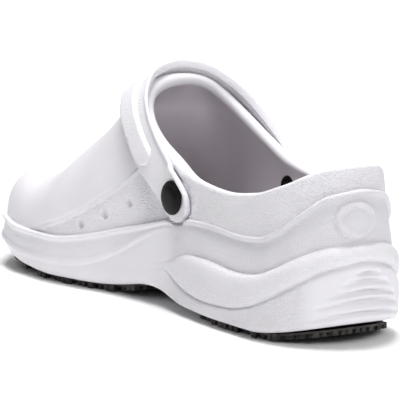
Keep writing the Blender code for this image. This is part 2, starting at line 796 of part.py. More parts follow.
class StrapPath:
    """The strap's inner line: up from the rivets, over the vamp just ahead of the collar."""

    def __init__(self):
        self.rivets = {side: rivet_place(side) for side in (1, -1)}
        low = self.rivets[1]
        top_x = float(share_to_x(STRAP_TOP_ALONG))
        self.tilt = math.atan2(crest_height(top_x) - low[2], top_x - low[0])
        self.origin = np.array([low[0], 0.5 * (self.rivets[1][1] + self.rivets[-1][1]), low[2]])
        self.climb = np.array([math.cos(self.tilt), 0.0, math.sin(self.tilt)])
        self.across = np.array([-math.sin(self.tilt), 0.0, math.cos(self.tilt)])

    def point(self, y, h):
        """Place of a point of the strap's line, h up its slope; the line sags beside the collar."""
        sag = STRAP_BOW * math.sin(2.0 * math.atan2(max(h, 0.0), abs(y))) ** 2
        return self.origin + np.array([0.0, y, 0.0]) + h * self.climb - sag * self.across

    def dome_radius(self, angle, across):
        """Distance from the strap's centre to the upper at an angle, on a line beside the middle."""
        low, high = 0.010, 0.120
        for _ in range(30):
            middle = 0.5 * (low + high)
            p = self.point(middle * math.cos(angle), middle * math.sin(angle)) + across * self.across
            if p[2] < dome_height(p[:2]):
                low = middle
            else:
                high = middle
        return low

    def inner_line(self, across):
        """Places of the strap's inner face, medial end to lateral end, on a line beside the middle."""
        half = 0.5 * (self.rivets[1][1] - self.rivets[-1][1]) + SEAT_GAP
        flat = [(half, share * STRAP_TAIL) for share in (-1.0, -0.5, 0.0, 0.4, 0.8)]
        hoop = []
        for degrees in range(24, 157, 11):
            angle = math.radians(degrees)
            rise = math.sin(angle)
            lift = min(1.0, 2.0 * rise) * (BEAD_BULGE + SEAT_GAP)
            r = self.dome_radius(angle, across) + SEAT_GAP + lift + STRAP_STANDOFF * rise ** 3
            hoop.append((r * math.cos(angle), r * math.sin(angle)))
        line = flat + hoop + [(-y, h) for y, h in reversed(flat)]
        return np.array([self.point(y, h) + across * self.across for y, h in line])


def seat_cutter(name, path, side, collection):
    """The flat slot that the strap's end lies in: a round-ended bar, from the seat outwards."""
    radius = 0.5 * STRAP_WIDTH + SEAT_MARGIN
    low = -STRAP_TAIL + 0.5 * STRAP_WIDTH
    arc = [(low - radius * math.sin(a), radius * math.cos(a)) for a in np.linspace(0.0, math.pi, 13)]
    outline = arc + [(SEAT_REACH, -radius), (SEAT_REACH, radius)]
    vertices = []
    for out in (0.0, SEAT_CUT_HEIGHT):
        for h, u in outline:
            place = path.rivets[side] + h * path.climb + u * path.across
            vertices.append(place + np.array([0.0, side * out, 0.0]))
    count = len(outline)
    under, over = list(range(count)), list(range(count, 2 * count))
    return new_object(name, vertices, strip_faces(under, over) + [tuple(under), tuple(over)], collection)


def strap_section(half, raise_pad):
    """The strap's section as (across, outward) pairs, with the raised pad on its front half."""
    t, c = STRAP_THICKNESS, STRAP_EDGE
    scale = half / (0.5 * STRAP_WIDTH)
    front = (-0.5 * STRAP_WIDTH + PAD_EDGE_MARGIN) * scale
    back = front + PAD_WIDTH * scale
    k = raise_pad * PAD_THICKNESS
    e = PAD_SLOPE * scale
    return [(-half + c, 0.0), (half - c, 0.0), (half, c), (half, t - c), (half - c, t), (back, t),
            (back - 0.4 * e, t + 0.7 * k), (back - e, t + k), (front + e, t + k),
            (front + 0.4 * e, t + 0.7 * k), (front, t), (-half + c, t), (-half, t - c), (-half, c)]


def build_strap(path, collection):
    """The swing strap, one moulded band with rounded ends and a raised pad."""
    front, rear = (path.inner_line(share * STRAP_WIDTH) for share in (-0.5, 0.5))
    line = 0.5 * (front + rear)
    across = (rear - front) / np.linalg.norm(rear - front, axis=1, keepdims=True)
    outward = np.cross(across, np.gradient(line, axis=0))
    outward /= np.linalg.norm(outward, axis=1, keepdims=True)
    run = np.concatenate(([0.0], np.cumsum(np.linalg.norm(np.diff(line, axis=0), axis=1))))
    full = 0.5 * STRAP_WIDTH
    ends = [full * (1.0 - math.cos(a)) for a in np.radians((17.0, 35.0, 60.0, 90.0))]
    lengths = sorted(ends + [run[-1] - e for e in ends]
                     + [d for d in run if full + 0.002 < d < run[-1] - full - 0.002])
    pad_from = STRAP_TAIL + PAD_START
    vertices, faces, rings = [], [], []
    for d in lengths:
        from_end = min(d, run[-1] - d)
        half = math.sqrt(full ** 2 - max(0.0, full - from_end) ** 2)
        raise_pad = smooth((from_end - pad_from) / 0.006)
        middle, sideways, normal = (np.array([np.interp(d, run, part[:, k]) for k in range(3)])
                                    for part in (line, across, outward))
        ring = []
        for u, v in strap_section(half, raise_pad):
            ring.append(len(vertices))
            vertices.append(middle + u * sideways + v * normal)
        rings.append(ring)
    for a, b in zip(rings[:-1], rings[1:]):
        faces += strip_faces(a, b)
    faces += [tuple(rings[0]), tuple(rings[-1])]
    return new_object("strap", vertices, faces, collection)


def rib_cutter(share, half_sweep, collection, name):
    """A shallow lens-shaped ring piece that cuts one rib groove round the back of the heel."""
    low, top = underside(share_to_x(0.0)), SOLE_HEIGHT * SIDE_LINES[0, 3]
    height = low + share * (top - low)
    vertices, faces, rings = [], [], []
    steps = 12
    for k in range(steps + 1):
        angle = math.pi + math.radians(half_sweep) * (2.0 * k / steps - 1.0)
        side = 1 if math.sin(angle) >= 0.0 else -1
        direction = np.array([math.cos(angle), math.sin(angle)])
        radius, girth = OUTLINES[side].fan(HEEL_CENTRE, direction)
        ray = Ray(side, girth)
        surface = radius - side_inset(girth, height) - tuck(girth, height - ray.low)
        taper = max(0.12, math.cos(0.5 * math.pi * (2.0 * k / steps - 1.0)) ** 0.5)
        ring = []
        for out, up in ((-RIB_DEPTH * taper, 0.0), (0.001, -0.8), (0.004, -0.8), (0.004, 0.8), (0.001, 0.8)):
            p = HEEL_CENTRE + direction * (surface + out)
            ring.append(len(vertices))
            vertices.append((p[0], p[1], height + up * RIB_WIDTH))
        rings.append(ring)
    for a, b in zip(rings[:-1], rings[1:]):
        faces += strip_faces(a, b)
    faces += [tuple(rings[0]), tuple(rings[-1])]
    return new_object(name, vertices, faces, collection)


def rivet_profiles():
    """Profiles of the cap with its post, and of the inner head, as (radius, height) pairs.

    Height 0 is the seat on the upper's outer wall.
    """
    under = SEAT_GAP + STRAP_THICKNESS + CLEARANCE
    r, h = RIVET_CAP_RADIUS, RIVET_CAP_HEIGHT
    tip = -(RIVET_WALL + CLEARANCE + RIVET_HEAD_HEIGHT)
    cap = [(0.0, under + h), (0.45 * r, under + 0.94 * h), (0.8 * r, under + 0.74 * h),
           (0.95 * r, under + 0.45 * h), (r, under + 0.15 * h), (0.97 * r, under),
           (RIVET_POST_RADIUS, under), (RIVET_POST_RADIUS, tip), (0.0, tip)]
    bore = RIVET_POST_RADIUS + CLEARANCE
    face = -(RIVET_WALL + CLEARANCE)
    rim, deep = RIVET_HEAD_RADIUS, RIVET_HEAD_HEIGHT
    head = [(bore, face), (rim, face), (rim, face - 0.5 * deep), (0.85 * rim, face - deep),
            (bore, face - deep), (bore, face)]
    return cap, head


def centre_on_origin(moulding, shoe, cutters):
    """Hang everything on an empty that puts the middle of the moulding's plan over the origin."""
    corners = np.array([vertex.co[:2] for vertex in moulding.data.vertices])
    middle = 0.5 * (corners.min(axis=0) + corners.max(axis=0))
    centre = bpy.data.objects.new("shoe_centre", None)
    centre.location = (-middle[0], -middle[1], 0.0)
    bpy.context.scene.collection.objects.link(centre)
    for item in list(shoe.objects) + list(cutters.objects):
        item.parent = centre


def main():
    """Clear the scene and build the clog."""
    for item in list(bpy.data.objects):
        bpy.data.objects.remove(item, do_unlink=True)
    shoe = bpy.data.collections.new("chef_clog")
    cutters = bpy.data.collections.new("cutters")
    bpy.context.scene.collection.children.link(shoe)
    bpy.context.scene.collection.children.link(cutters)
    foam = material("white moulded foam", (0.78, 0.77, 0.79), 0.55)
    lining = material("grey insole foam", (0.55, 0.54, 0.56), 0.8)
    rubber = material("black rubber", (0.02, 0.02, 0.02), 0.6)
    plastic = material("black plastic", (0.012, 0.012, 0.012), 0.35)

    rays = ring_of_rays()
    upper, floor_ring = build_moulding(rays, shoe)
    upper.data.materials.append(foam)
    build_insole(floor_ring, rays, shoe).data.materials.append(lining)
    path = StrapPath()
    strap = build_strap(path, shoe)
    strap.data.materials.append(foam)
    build_tread("heel_tread", HEEL_TREAD, shoe, cutters).data.materials.append(rubber)
    build_tread("forefoot_tread", FORE_TREAD, shoe, cutters).data.materials.append(rubber)

    cap_profile, head_profile = rivet_profiles()
    for side, word in ((1, "medial"), (-1, "lateral")):
        place = path.rivets[side]
        cut(upper, seat_cutter("seat_" + word, path, side, cutters))
        spot_start = place - np.array([0.0, side * RIVET_WALL, 0.0])
        spot = cylinder("spot_" + word, RIVET_HEAD_RADIUS + RIVET_SPOT_MARGIN, spot_start, 0.006, -side, cutters, 28)
        cut(upper, spot)
        bore_start = place - np.array([0.0, side * 0.012, 0.0])
        bore = cylinder("bore_" + word, RIVET_POST_RADIUS + CLEARANCE, bore_start, 0.030, side, cutters)
        cut(upper, bore)
        cut(strap, bore)
        turned("rivet_cap_" + word, cap_profile, place, side, shoe).data.materials.append(plastic)
        turned("rivet_head_" + word, head_profile, place, side, shoe).data.materials.append(plastic)
        for number, (along, rise) in enumerate(DIMPLES):
            x, z = float(share_to_x(along)), rise * SOLE_HEIGHT
            girth = OUTLINES[side].girth_at_x(x)
            base = abs(float(half_width(along, side)) - side * centre_line(x)) - upper_inset(girth)
            y = centre_line(x) + side * base * dome_share(z, x, girth)
            start = (x, y - side * DIMPLE_DEPTH, z)
            name = "dimple_%s_%d" % (word, number)
            cut(upper, cylinder(name, DIMPLE_RADIUS, start, 0.010, side, cutters, 12))
    for number, (share, sweep) in enumerate(HEEL_RIBS):
        cut(upper, rib_cutter(share, sweep, cutters, "rib_%d" % number))
    centre_on_origin(upper, shoe, cutters)


if __name__ == "__main__":
    main()
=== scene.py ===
"""Looks of the moulded kitchen clog: fine shell, strap, rivets, treads, footbed, finishes and studio.

The forms repeat the CAD part's own formulas, more finely sampled, and carry the low relief of the mould.
Metres, +Z up, toe at +X, big toe side (medial) at +Y.
"""
import logging
import math
from dataclasses import dataclass, field
from enum import Enum

import bmesh
import bpy
import numpy as np
from mathutils import Matrix, Vector


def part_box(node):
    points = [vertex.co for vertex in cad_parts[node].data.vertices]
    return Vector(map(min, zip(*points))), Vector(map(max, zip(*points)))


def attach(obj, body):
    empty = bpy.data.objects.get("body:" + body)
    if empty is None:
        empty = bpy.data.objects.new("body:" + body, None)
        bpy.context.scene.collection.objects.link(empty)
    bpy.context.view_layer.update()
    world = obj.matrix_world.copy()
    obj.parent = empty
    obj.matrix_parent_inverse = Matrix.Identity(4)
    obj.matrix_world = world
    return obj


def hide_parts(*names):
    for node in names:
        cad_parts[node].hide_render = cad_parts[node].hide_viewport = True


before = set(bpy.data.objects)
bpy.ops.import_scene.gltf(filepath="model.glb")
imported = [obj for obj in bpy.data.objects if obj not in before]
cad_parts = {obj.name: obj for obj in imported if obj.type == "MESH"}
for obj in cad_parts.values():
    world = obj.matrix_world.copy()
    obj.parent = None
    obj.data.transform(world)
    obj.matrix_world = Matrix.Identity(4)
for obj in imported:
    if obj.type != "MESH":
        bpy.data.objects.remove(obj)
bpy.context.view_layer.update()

LOG = logging.getLogger("clog")
MM = 0.001
# Vertex numbers of each face of a mesh
Faces = list[tuple[int, ...]]
# Where a change starts and how far it reaches, with a negative reach for a fall
Span = tuple[float, float]
# One place in space, or three factors along X, Y and Z
Triple = tuple[float, float, float]
# Sockets of a Mix node that mixes colours: its two colours and its result
MIX_FROM, MIX_TO, MIX_RESULT = 6, 7, 2
# Bands per metre that a wave texture draws at scale 1
WAVE_BANDS = 3.18

# Plan of the moulding: share of the length, and half widths as shares of half the local width
PLAN = np.array([
    # along, medial, lateral
    (0.00, 0.000, 0.000),
    (0.03, 0.530, 0.580),
    (0.08, 0.815, 0.880),
    (0.15, 0.950, 1.005),
    (0.25, 0.960, 1.040),
    (0.35, 0.865, 1.020),
    (0.45, 0.735, 1.000),
    (0.55, 0.755, 0.980),
    (0.65, 0.890, 1.010),
    (0.72, 0.975, 1.015),
    (0.80, 0.980, 0.950),
    (0.88, 0.885, 0.800),
    (0.94, 0.670, 0.590),
    (0.98, 0.380, 0.330),
    (1.00, 0.000, 0.000),
])
# Crest of the last seen from the side, imagined on over the opening
CREST = np.array([
    # along, share of the throat's height
    (0.00, 1.020),
    (0.15, 0.990),
    (0.29, 0.960),
    (0.39, 0.980),
    (0.50, 1.020),
    (0.58, 1.000),
    (0.655, 0.800),
    (0.72, 0.640),
    (0.76, 0.545),
    (0.80, 0.490),
])
# The collar's edge seen from the side
COLLAR = np.array([
    # along, share of the rise from the collar's low point to the heel's height
    (0.00, 1.000),
    (0.05, 0.860),
    (0.08, 0.650),
    (0.12, 0.380),
    (0.18, 0.110),
    (0.25, 0.000),
    (0.32, 0.045),
    (0.39, 0.210),
    (0.465, 0.600),
    (0.52, 1.020),
    (0.555, 1.400),
    (0.58, 1.800),
    (0.60, 2.100),
])
# Lines round the side, by share of the way from the back of the heel to the toe tip
SIDE_LINES = np.array([
    # girth, step, lobe top, lobe bottom (shares of the sole's height), strength of linen and lobe grain
    (0.00, 2.900, 1.940, 1.600, 1.0),
    (0.06, 2.780, 1.850, 1.430, 1.0),
    (0.11, 2.420, 1.640, 1.120, 1.0),
    (0.15, 2.080, 1.380, 0.830, 1.0),
    (0.19, 1.880, 1.200, 0.600, 1.0),
    (0.24, 1.830, 1.150, 0.450, 1.0),
    (0.30, 1.880, 1.220, 0.410, 1.0),
    (0.35, 1.860, 1.210, 0.460, 1.0),
    (0.39, 1.790, 1.060, 0.640, 0.9),
    (0.42, 1.720, 0.900, 0.780, 0.0),
    (0.47, 1.530, 0.780, 0.600, 0.0),
    (0.53, 1.330, 0.500, 0.380, 0.0),
    (0.60, 1.080, 0.340, 0.240, 0.0),
    (0.66, 0.950, 0.330, 0.230, 0.0),
    (0.73, 0.940, 0.340, 0.250, 0.0),
    (0.82, 1.010, 0.420, 0.330, 0.0),
    (0.91, 1.090, 0.560, 0.470, 0.0),
    (1.00, 1.120, 0.620, 0.530, 0.0),
])
# Lower ridge of the front half: girth, height as a share of the sole's height, strength
LOWER_RIDGE = np.array([
    (0.00, 2.500, 0.0),
    (0.15, 1.800, 0.0),
    (0.30, 1.640, 0.0),
    (0.42, 1.560, 0.2),
    (0.47, 1.300, 0.8),
    (0.53, 0.880, 1.0),
    (0.60, 0.540, 1.0),
    (0.66, 0.450, 1.0),
    (0.73, 0.460, 1.0),
    (0.82, 0.580, 1.0),
    (0.91, 0.680, 1.0),
    (1.00, 0.720, 1.0),
])
# Inward lean of the outline at the step, and the roundness of the dome above it
LEAN = np.array([
    # girth, lean over the ball's width, dome exponent
    (0.00, 0.054, 2.2),
    (0.20, 0.040, 2.2),
    (0.45, 0.020, 2.2),
    (0.60, 0.013, 2.2),
    (0.75, 0.011, 2.5),
    (1.00, 0.011, 2.9),
])
# Upper edge of the grained side panel, seen from the side, in millimetres
PANEL_LINE = np.array([
    # x, height
    (-12.0, 80.0),
    (11.0, 60.0),
    (22.0, 52.0),
    (37.0, 41.5),
    (52.0, 33.0),
    (74.0, 25.0),
    (90.0, 21.0),
])
# Heel ribs: share of the height from the lower edge to the lobe, and half sweep in degrees
HEEL_RIBS = ((0.20, 39.0), (0.40, 33.0), (0.55, 26.0), (0.72, 17.0), (0.84, 9.0))
# Dimples of the side panel: along, height as a share of the sole's height
DIMPLES = ((0.536, 1.84), (0.593, 1.52), (0.643, 1.26))
# Easing of the side's lines at their turns: offset over the reach, and weight
EASING = ((-1.0, 0.10), (-0.5, 0.24), (0.0, 0.32), (0.5, 0.24), (1.0, 0.10))
EASING_REACH = 0.016
# Where each tread starts and ends, as shares of the length
HEEL_TREAD = (0.034, 0.365)
FOREFOOT_TREAD = (0.475, 0.950)


class Side(Enum):
    """The two sides of the shoe, by the sign of Y."""

    MEDIAL = 1
    LATERAL = -1


# Both signs of Y, medial first
SIGNS = tuple(side.value for side in Side)


def linear_colour(code: str) -> tuple[float, float, float, float]:
    """Linear RGBA of an sRGB hex colour.

    Args:
        code: six hex digits after a hash.

    Returns:
        Red, green and blue as linear light, and full alpha.
    """
    parts = [int(code[k:k + 2], 16) / 255.0 for k in (1, 3, 5)]
    light = [c / 12.92 if c <= 0.04045 else ((c + 0.055) / 1.055) ** 2.4 for c in parts]
    return (light[0], light[1], light[2], 1.0)


def smooth(t: np.ndarray | float) -> np.ndarray:
    """Smooth rise from 0 to 1 as t goes from 0 to 1."""
    t = np.clip(t, 0.0, 1.0)
    return t * t * (3.0 - 2.0 * t)


def ramp(x: np.ndarray | float, span: Span) -> np.ndarray:
    """Smooth rise over a span, or fall where its reach is negative."""
    return smooth((x - span[0]) / span[1])


def bell(distance: np.ndarray | float, width: float) -> np.ndarray:
    """Soft bump of unit height."""
    return np.exp(-(np.asarray(distance) / width) ** 2)


def curve_through(table: np.ndarray, column: int, at: np.ndarray | float) -> np.ndarray:
    """Monotone cubic through a table's first column and another.

    Args:
        table: rows in rising order of their first column.
        column: which column to read.
        at: place or places along the first column.

    Returns:
        The curve's value at each place.
    """
    xs, ys = table[:, 0], table[:, column]
    slope = np.diff(ys) / np.diff(xs)
    tangent = np.zeros(len(xs))
    same = slope[:-1] * slope[1:] > 0.0
    middle = np.zeros(len(xs) - 2)
    middle[same] = 2.0 * slope[:-1][same] * slope[1:][same] / (slope[:-1][same] + slope[1:][same])
    tangent[1:-1] = middle
    tangent[0], tangent[-1] = slope[0], slope[-1]
    at = np.clip(np.asarray(at, float), xs[0], xs[-1])
    k = np.clip(np.searchsorted(xs, at, side="right") - 1, 0, len(xs) - 2)
    h = xs[k + 1] - xs[k]
    t = (at - xs[k]) / h
    return ((1 + 2 * t) * (1 - t) ** 2 * ys[k] + t * (1 - t) ** 2 * h * tangent[k]
            + t * t * (3 - 2 * t) * ys[k + 1] + t * t * (t - 1) * h * tangent[k + 1])


def rounded_line(table: np.ndarray, column: int, girth: np.ndarray | float) -> np.ndarray:
    """A curve through a table of the side's lines with its turns eased, mirrored at heel and toe.

    Args:
        table: rows in rising order of their girth share.
        column: which column to read.
        girth: girth share or shares.

    Returns:
        The eased value at each girth share.
    """
    girth = np.asarray(girth, float)
    total = np.zeros_like(girth)
    for offset, weight in EASING:
        at = np.abs(girth + offset * EASING_REACH)
        total = total + weight * curve_through(table, column, np.where(at > 1.0, 2.0 - at, at))
    return total


def fan_angle(side: int, rel: np.ndarray) -> np.ndarray:
    """Angle of a direction towards one side, from -90 to 270 degrees, so it doesn't wrap at the heel."""
    angle = np.arctan2(side * rel[..., 1], rel[..., 0])
    return np.where(angle < -0.5 * math.pi, angle + 2.0 * math.pi, angle)


def spaced(count: int) -> np.ndarray:
    """Shares from 0 up to, not including, 1, somewhat closer together near both ends."""
    even = np.linspace(0.0, 1.0, count, endpoint=False)
    return 0.5 * even + 0.25 * (1.0 - np.cos(math.pi * even))


@dataclass
class LastForm:
    """The form of the last and of the moulding round it, in the part's own formulas."""

    length: float = 0.280
    ball_width: float = 0.106
    heel_width: float = 0.083
    throat_height: float = 0.1105
    collar_low: float = 0.0665
    heel_height: float = 0.0885
    sole_height: float = 0.0260
    sole_lift: float = 0.0036
    arch_rise: float = 0.0050
    toe_spring: float = 0.0155
    heel_bevel: float = 0.0080
    floor_heel: float = 0.0220
    floor_fore: float = 0.0135
    step_depth_heel: float = 0.0032
    step_depth_fore: float = 0.0016
    heel_centre_share: float = 0.15
    toe_centre_share: float = 0.80
    last_upright: float = 0.465
    width_change: Span = (0.25, 0.40)
    step_change: Span = (0.10, 0.35)
    floor_drop: Span = (0.30, 0.32)
    arch_place: float = 0.475
    arch_width: float = 0.075
    spring_span: Span = (0.72, 0.28)
    spring_power: float = 1.8
    bevel_span: Span = (0.15, -0.15)
    bevel_power: float = 1.6
    outline_samples: int = 500
    throat_from: float = 0.50
    throat_samples: int = 300
    heel_collar_samples: int = 40
    side_collar_samples: int = 120
    collar_rounds: int = 12
    outlines: dict[int, np.ndarray] = field(default_factory=dict)
    girths: dict[int, np.ndarray] = field(default_factory=dict)
    collars: dict[int, np.ndarray] = field(default_factory=dict)

    def __post_init__(self) -> None:
        """Work out the outlines, the fan centres and the collar's edge."""
        share = 0.5 * (1.0 - np.cos(np.linspace(0.0, math.pi, self.outline_samples)))
        for side in SIGNS:
            points = np.column_stack((self.to_x(share), side * self.half_width(share, side)))
            run = np.hypot(*np.diff(points, axis=0).T)
            self.outlines[side] = points
            self.girths[side] = np.concatenate(([0.0], np.cumsum(run))) / run.sum()
        self.girth_length = float(run.sum())
        heel_x, toe_x = self.to_x(self.heel_centre_share), self.to_x(self.toe_centre_share)
        self.heel_centre = np.array([heel_x, self.centre_line(heel_x)])
        self.toe_centre = np.array([toe_x, self.centre_line(toe_x)])
        xs = np.linspace(self.to_x(self.throat_from), self.to_x(COLLAR[-1, 0]), self.throat_samples)
        self.throat_x = float(np.interp(0.0, self.collar_height(xs) - self.crest_height(xs), xs))
        for side in SIGNS:
            self.collars[side] = self.collar_edge(side)

    def to_x(self, share: np.ndarray | float) -> np.ndarray:
        """Place along X of a share of the length."""
        return (np.asarray(share, float) - 0.5) * self.length

    def to_share(self, x: np.ndarray | float) -> np.ndarray:
        """Share of the length at a place along X."""
        return np.asarray(x, float) / self.length + 0.5

    def half_width(self, share: np.ndarray | float, side: int) -> np.ndarray:
        """Half width of the moulding at a share of the length, on one side.

        Args:
            share: share or shares of the length from the heel.
            side: sign of Y.

        Returns:
            The half width at each share.
        """
        share = np.clip(np.asarray(share, float), 0.0, 1.0)
        local = self.heel_width + (self.ball_width - self.heel_width) * ramp(share, self.width_change)
        turned = np.column_stack((np.arccos(1.0 - 2.0 * PLAN[:, 0]), PLAN[:, 1], PLAN[:, 2]))
        return 0.5 * local * curve_through(turned, 1 if side > 0 else 2, np.arccos(1.0 - 2.0 * share))

    def centre_line(self, x: np.ndarray | float) -> np.ndarray:
        """Y of the middle of the outline at a place along X."""
        share = self.to_share(x)
        return 0.5 * (self.half_width(share, 1) - self.half_width(share, -1))

    def outline_at(self, side: int, girth: np.ndarray | float) -> np.ndarray:
        """Outline points at girth shares."""
        rows = [np.interp(girth, self.girths[side], self.outlines[side][:, k]) for k in (0, 1)]
        return np.stack(rows, axis=-1)

    def girth_at_x(self, side: int, x: np.ndarray | float) -> np.ndarray:
        """Girth share where the outline passes a place along X."""
        return np.interp(x, self.outlines[side][:, 0], self.girths[side])

    def fan(self, side: int, centre: np.ndarray, rel: np.ndarray) -> tuple[np.ndarray, np.ndarray]:
        """Radius and girth of the outline seen from a fan centre in some directions.

        Args:
            side: sign of Y.
            centre: plan point that the spokes start from.
            rel: directions as rows of x and y.

        Returns:
            The outline's distance from the centre, and its girth share, in each direction.
        """
        spokes = self.outlines[side] - centre
        angle = fan_angle(side, spokes)
        order = np.argsort(angle)
        wanted = fan_angle(side, rel)
        radius = np.interp(wanted, angle[order], np.hypot(spokes[:, 0], spokes[:, 1])[order])
        return radius, np.interp(wanted, angle[order], self.girths[side][order])

    def crest_height(self, x: np.ndarray | float) -> np.ndarray:
        """Height of the crest of the last at a place along X."""
        return self.throat_height * curve_through(CREST, 1, self.to_share(x))

    def collar_height(self, x: np.ndarray | float) -> np.ndarray:
        """Height of the collar's edge at a place along X."""
        rise = curve_through(COLLAR, 1, self.to_share(x))
        return self.collar_low + (self.heel_height - self.collar_low) * rise

    def line(self, column: int, girth: np.ndarray | float) -> np.ndarray:
        """Height of one of the side's lines at a girth share."""
        return self.sole_height * rounded_line(SIDE_LINES, column, girth)

    def lean_at(self, girth: np.ndarray | float) -> np.ndarray:
        """Inset of the moulded side from the outline just under the step."""
        return self.ball_width * curve_through(LEAN, 1, girth)

    def upper_inset(self, girth: np.ndarray | float) -> np.ndarray:
        """Inset of the upper from the outline just above the step."""
        step = (self.step_depth_fore - self.step_depth_heel) * ramp(np.asarray(girth), self.step_change)
        return self.lean_at(girth) + self.step_depth_heel + step

    def dome_share(self, height: float, foot_x: float, girth: float) -> float:
        """Share of the base radius that the upper still has at a height.

        Args:
            height: height above the floor.
            foot_x: place along X of the nearest point of the middle.
            girth: girth share of the slice.

        Returns:
            The share, 1 at the step and 0 at the crest.
        """
        low = self.line(1, girth)
        t = np.clip((height - low) / (self.crest_height(foot_x) - low), 0.0, 1.0)
        power = curve_through(LEAN, 2, girth)
        return float((1.0 - t ** power) ** (1.0 / power))

    def dome_height(self, plan: np.ndarray) -> np.ndarray:
        """Height of the upper's outer form over plan points.

        Args:
            plan: points as rows of x and y.

        Returns:
            The height over each point.
        """
        x = plan[:, 0]
        foot_x = np.clip(x, self.heel_centre[0], self.toe_centre[0])
        rel = plan - np.column_stack((foot_x, self.centre_line(foot_x)))
        distance = np.hypot(rel[:, 0], rel[:, 1])
        radius, girth = np.empty(len(x)), np.empty(len(x))
        ends = ((self.heel_centre, x <= self.heel_centre[0]), (self.toe_centre, x >= self.toe_centre[0]))
        for side in SIGNS:
            here = (rel[:, 1] >= 0.0) == (side > 0)
            straight = here & (x > self.heel_centre[0]) & (x < self.toe_centre[0])
            middle = self.centre_line(x[straight])
            radius[straight] = self.half_width(self.to_share(x[straight]), side) - side * middle
            girth[straight] = self.girth_at_x(side, x[straight])
            for centre, part in ends:
                pick = here & part
                radius[pick], girth[pick] = self.fan(side, centre, rel[pick])
        low, power = self.line(1, girth), curve_through(LEAN, 2, girth)
        q = np.minimum(distance / (radius - self.upper_inset(girth)), 1.0)
        return low + (self.crest_height(foot_x) - low) * (1.0 - q ** power) ** (1.0 / power)

    def collar_edge(self, side: int) -> np.ndarray:
        """Collar's edge on one side in plan, from the back of the heel to the throat.

        Args:
            side: sign of Y.

        Returns:
            Plan points of the edge as rows of x and y.
        """
        points = []
        for angle in np.linspace(math.pi, 0.5 * math.pi, self.heel_collar_samples, endpoint=False):
            direction = np.array([math.cos(angle), side * math.sin(angle)])
            radius, girth = self.fan(side, self.heel_centre, direction)
            base = radius - self.upper_inset(girth)
            reached = base
            for _ in range(self.collar_rounds):
                height = self.collar_height(self.heel_centre[0] + reached * direction[0])
                reached = base * self.dome_share(height, self.heel_centre[0], girth)
            points.append(self.heel_centre + reached * direction)
        for turn in np.linspace(0.0, 0.5 * math.pi, self.side_collar_samples):
            x = self.heel_centre[0] + (self.throat_x - self.heel_centre[0]) * math.sin(turn)
            points.append(np.array([x, self.wall_y(side, x, self.to_share(x), self.collar_height(x))]))
        return np.array(points)

    def collar_lengths(self, side: int) -> np.ndarray:
        """Length from the back of the heel of each point of the collar's edge."""
        run = np.hypot(*np.diff(self.collars[side], axis=0).T)
        return np.concatenate(([0.0], np.cumsum(run)))

    def underside(self, x: np.ndarray | float) -> np.ndarray:
        """Height of the moulding's flat underside: arch, toe spring and heel bevel.

        Args:
            x: place or places along X.

        Returns:
            The height above the floor at each place.
        """
        share = self.to_share(x)
        arch = self.arch_rise * bell(share - self.arch_place, self.arch_width)
        start, reach = self.bevel_span
        bevel = self.heel_bevel * np.maximum(0.0, (share - start) / reach) ** self.bevel_power
        return self.sole_lift + arch + self.spring_rise(share) + bevel

    def spring_rise(self, share: np.ndarray) -> np.ndarray:
        """Rise of the toe spring at shares of the length."""
        start, reach = self.spring_span
        return self.toe_spring * np.maximum(0.0, (share - start) / reach) ** self.spring_power

    def floor_height(self, x: np.ndarray | float) -> np.ndarray:
        """Height of the floor inside at a place along X.

        Args:
            x: place or places along X.

        Returns:
            The height above the ground at each place.
        """
        share = self.to_share(x)
        drop = (self.floor_fore - self.floor_heel) * ramp(share, self.floor_drop)
        return self.floor_heel + drop + self.spring_rise(share)

    def wall_y(self, side: int, x: float, share: float, height: float) -> float:
        """Y of the upper's outer wall beside the shoe's middle.

        Args:
            side: sign of Y.
            x: place along X.
            share: the same place as a share of the length.
            height: height above the floor.

        Returns:
            The wall's place along Y.
        """
        girth = self.girth_at_x(side, x)
        middle = self.centre_line(x)
        base = abs(self.half_width(share, side) - side * middle) - self.upper_inset(girth)
        return float(middle + side * base * self.dome_share(height, x, girth))

    def rivet_place(self, side: int, along: float, height: float) -> np.ndarray:
        """Point of the upper's outer wall at a share of the length and a height."""
        x = float(self.to_x(along))
        return np.array([x, self.wall_y(side, x, along, height), height])


def mesh_object(name: str, vertices: np.ndarray, faces: Faces, sharp: float = 180.0) -> bpy.types.Object:
    """A shaded mesh object with its faces pointing out.

    Args:
        name: the piece's name.
        vertices: rows of x, y and z.
        faces: vertex numbers of each face.
        sharp: edges sharper than this many degrees stay sharp.

    Returns:
        The object, linked to the scene.
    """
    mesh = bpy.data.meshes.new(name)
    mesh.from_pydata([tuple(map(float, v)) for v in vertices], [], faces)
    work = bmesh.new()
    work.from_mesh(mesh)
    bmesh.ops.recalc_face_normals(work, faces=work.faces)
    work.to_mesh(mesh)
    work.free()
    mesh.shade_smooth()
    if sharp < 180.0:
        mesh.set_sharp_from_angle(angle=math.radians(sharp))
    item = bpy.data.objects.new(name, mesh)
    bpy.context.scene.collection.objects.link(item)
    return item


def ring_faces(first: int, second: int, count: int) -> Faces:
    """Quads between two rings of vertices that start at two numbers."""
    return [(first + k, first + (k + 1) % count, second + (k + 1) % count, second + k) for k in range(count)]


def stack_faces(rows: int, count: int) -> Faces:
    """Quads between each ring of a stack and the next."""
    return [face for k in range(rows - 1) for face in ring_faces(k * count, (k + 1) * count, count)]


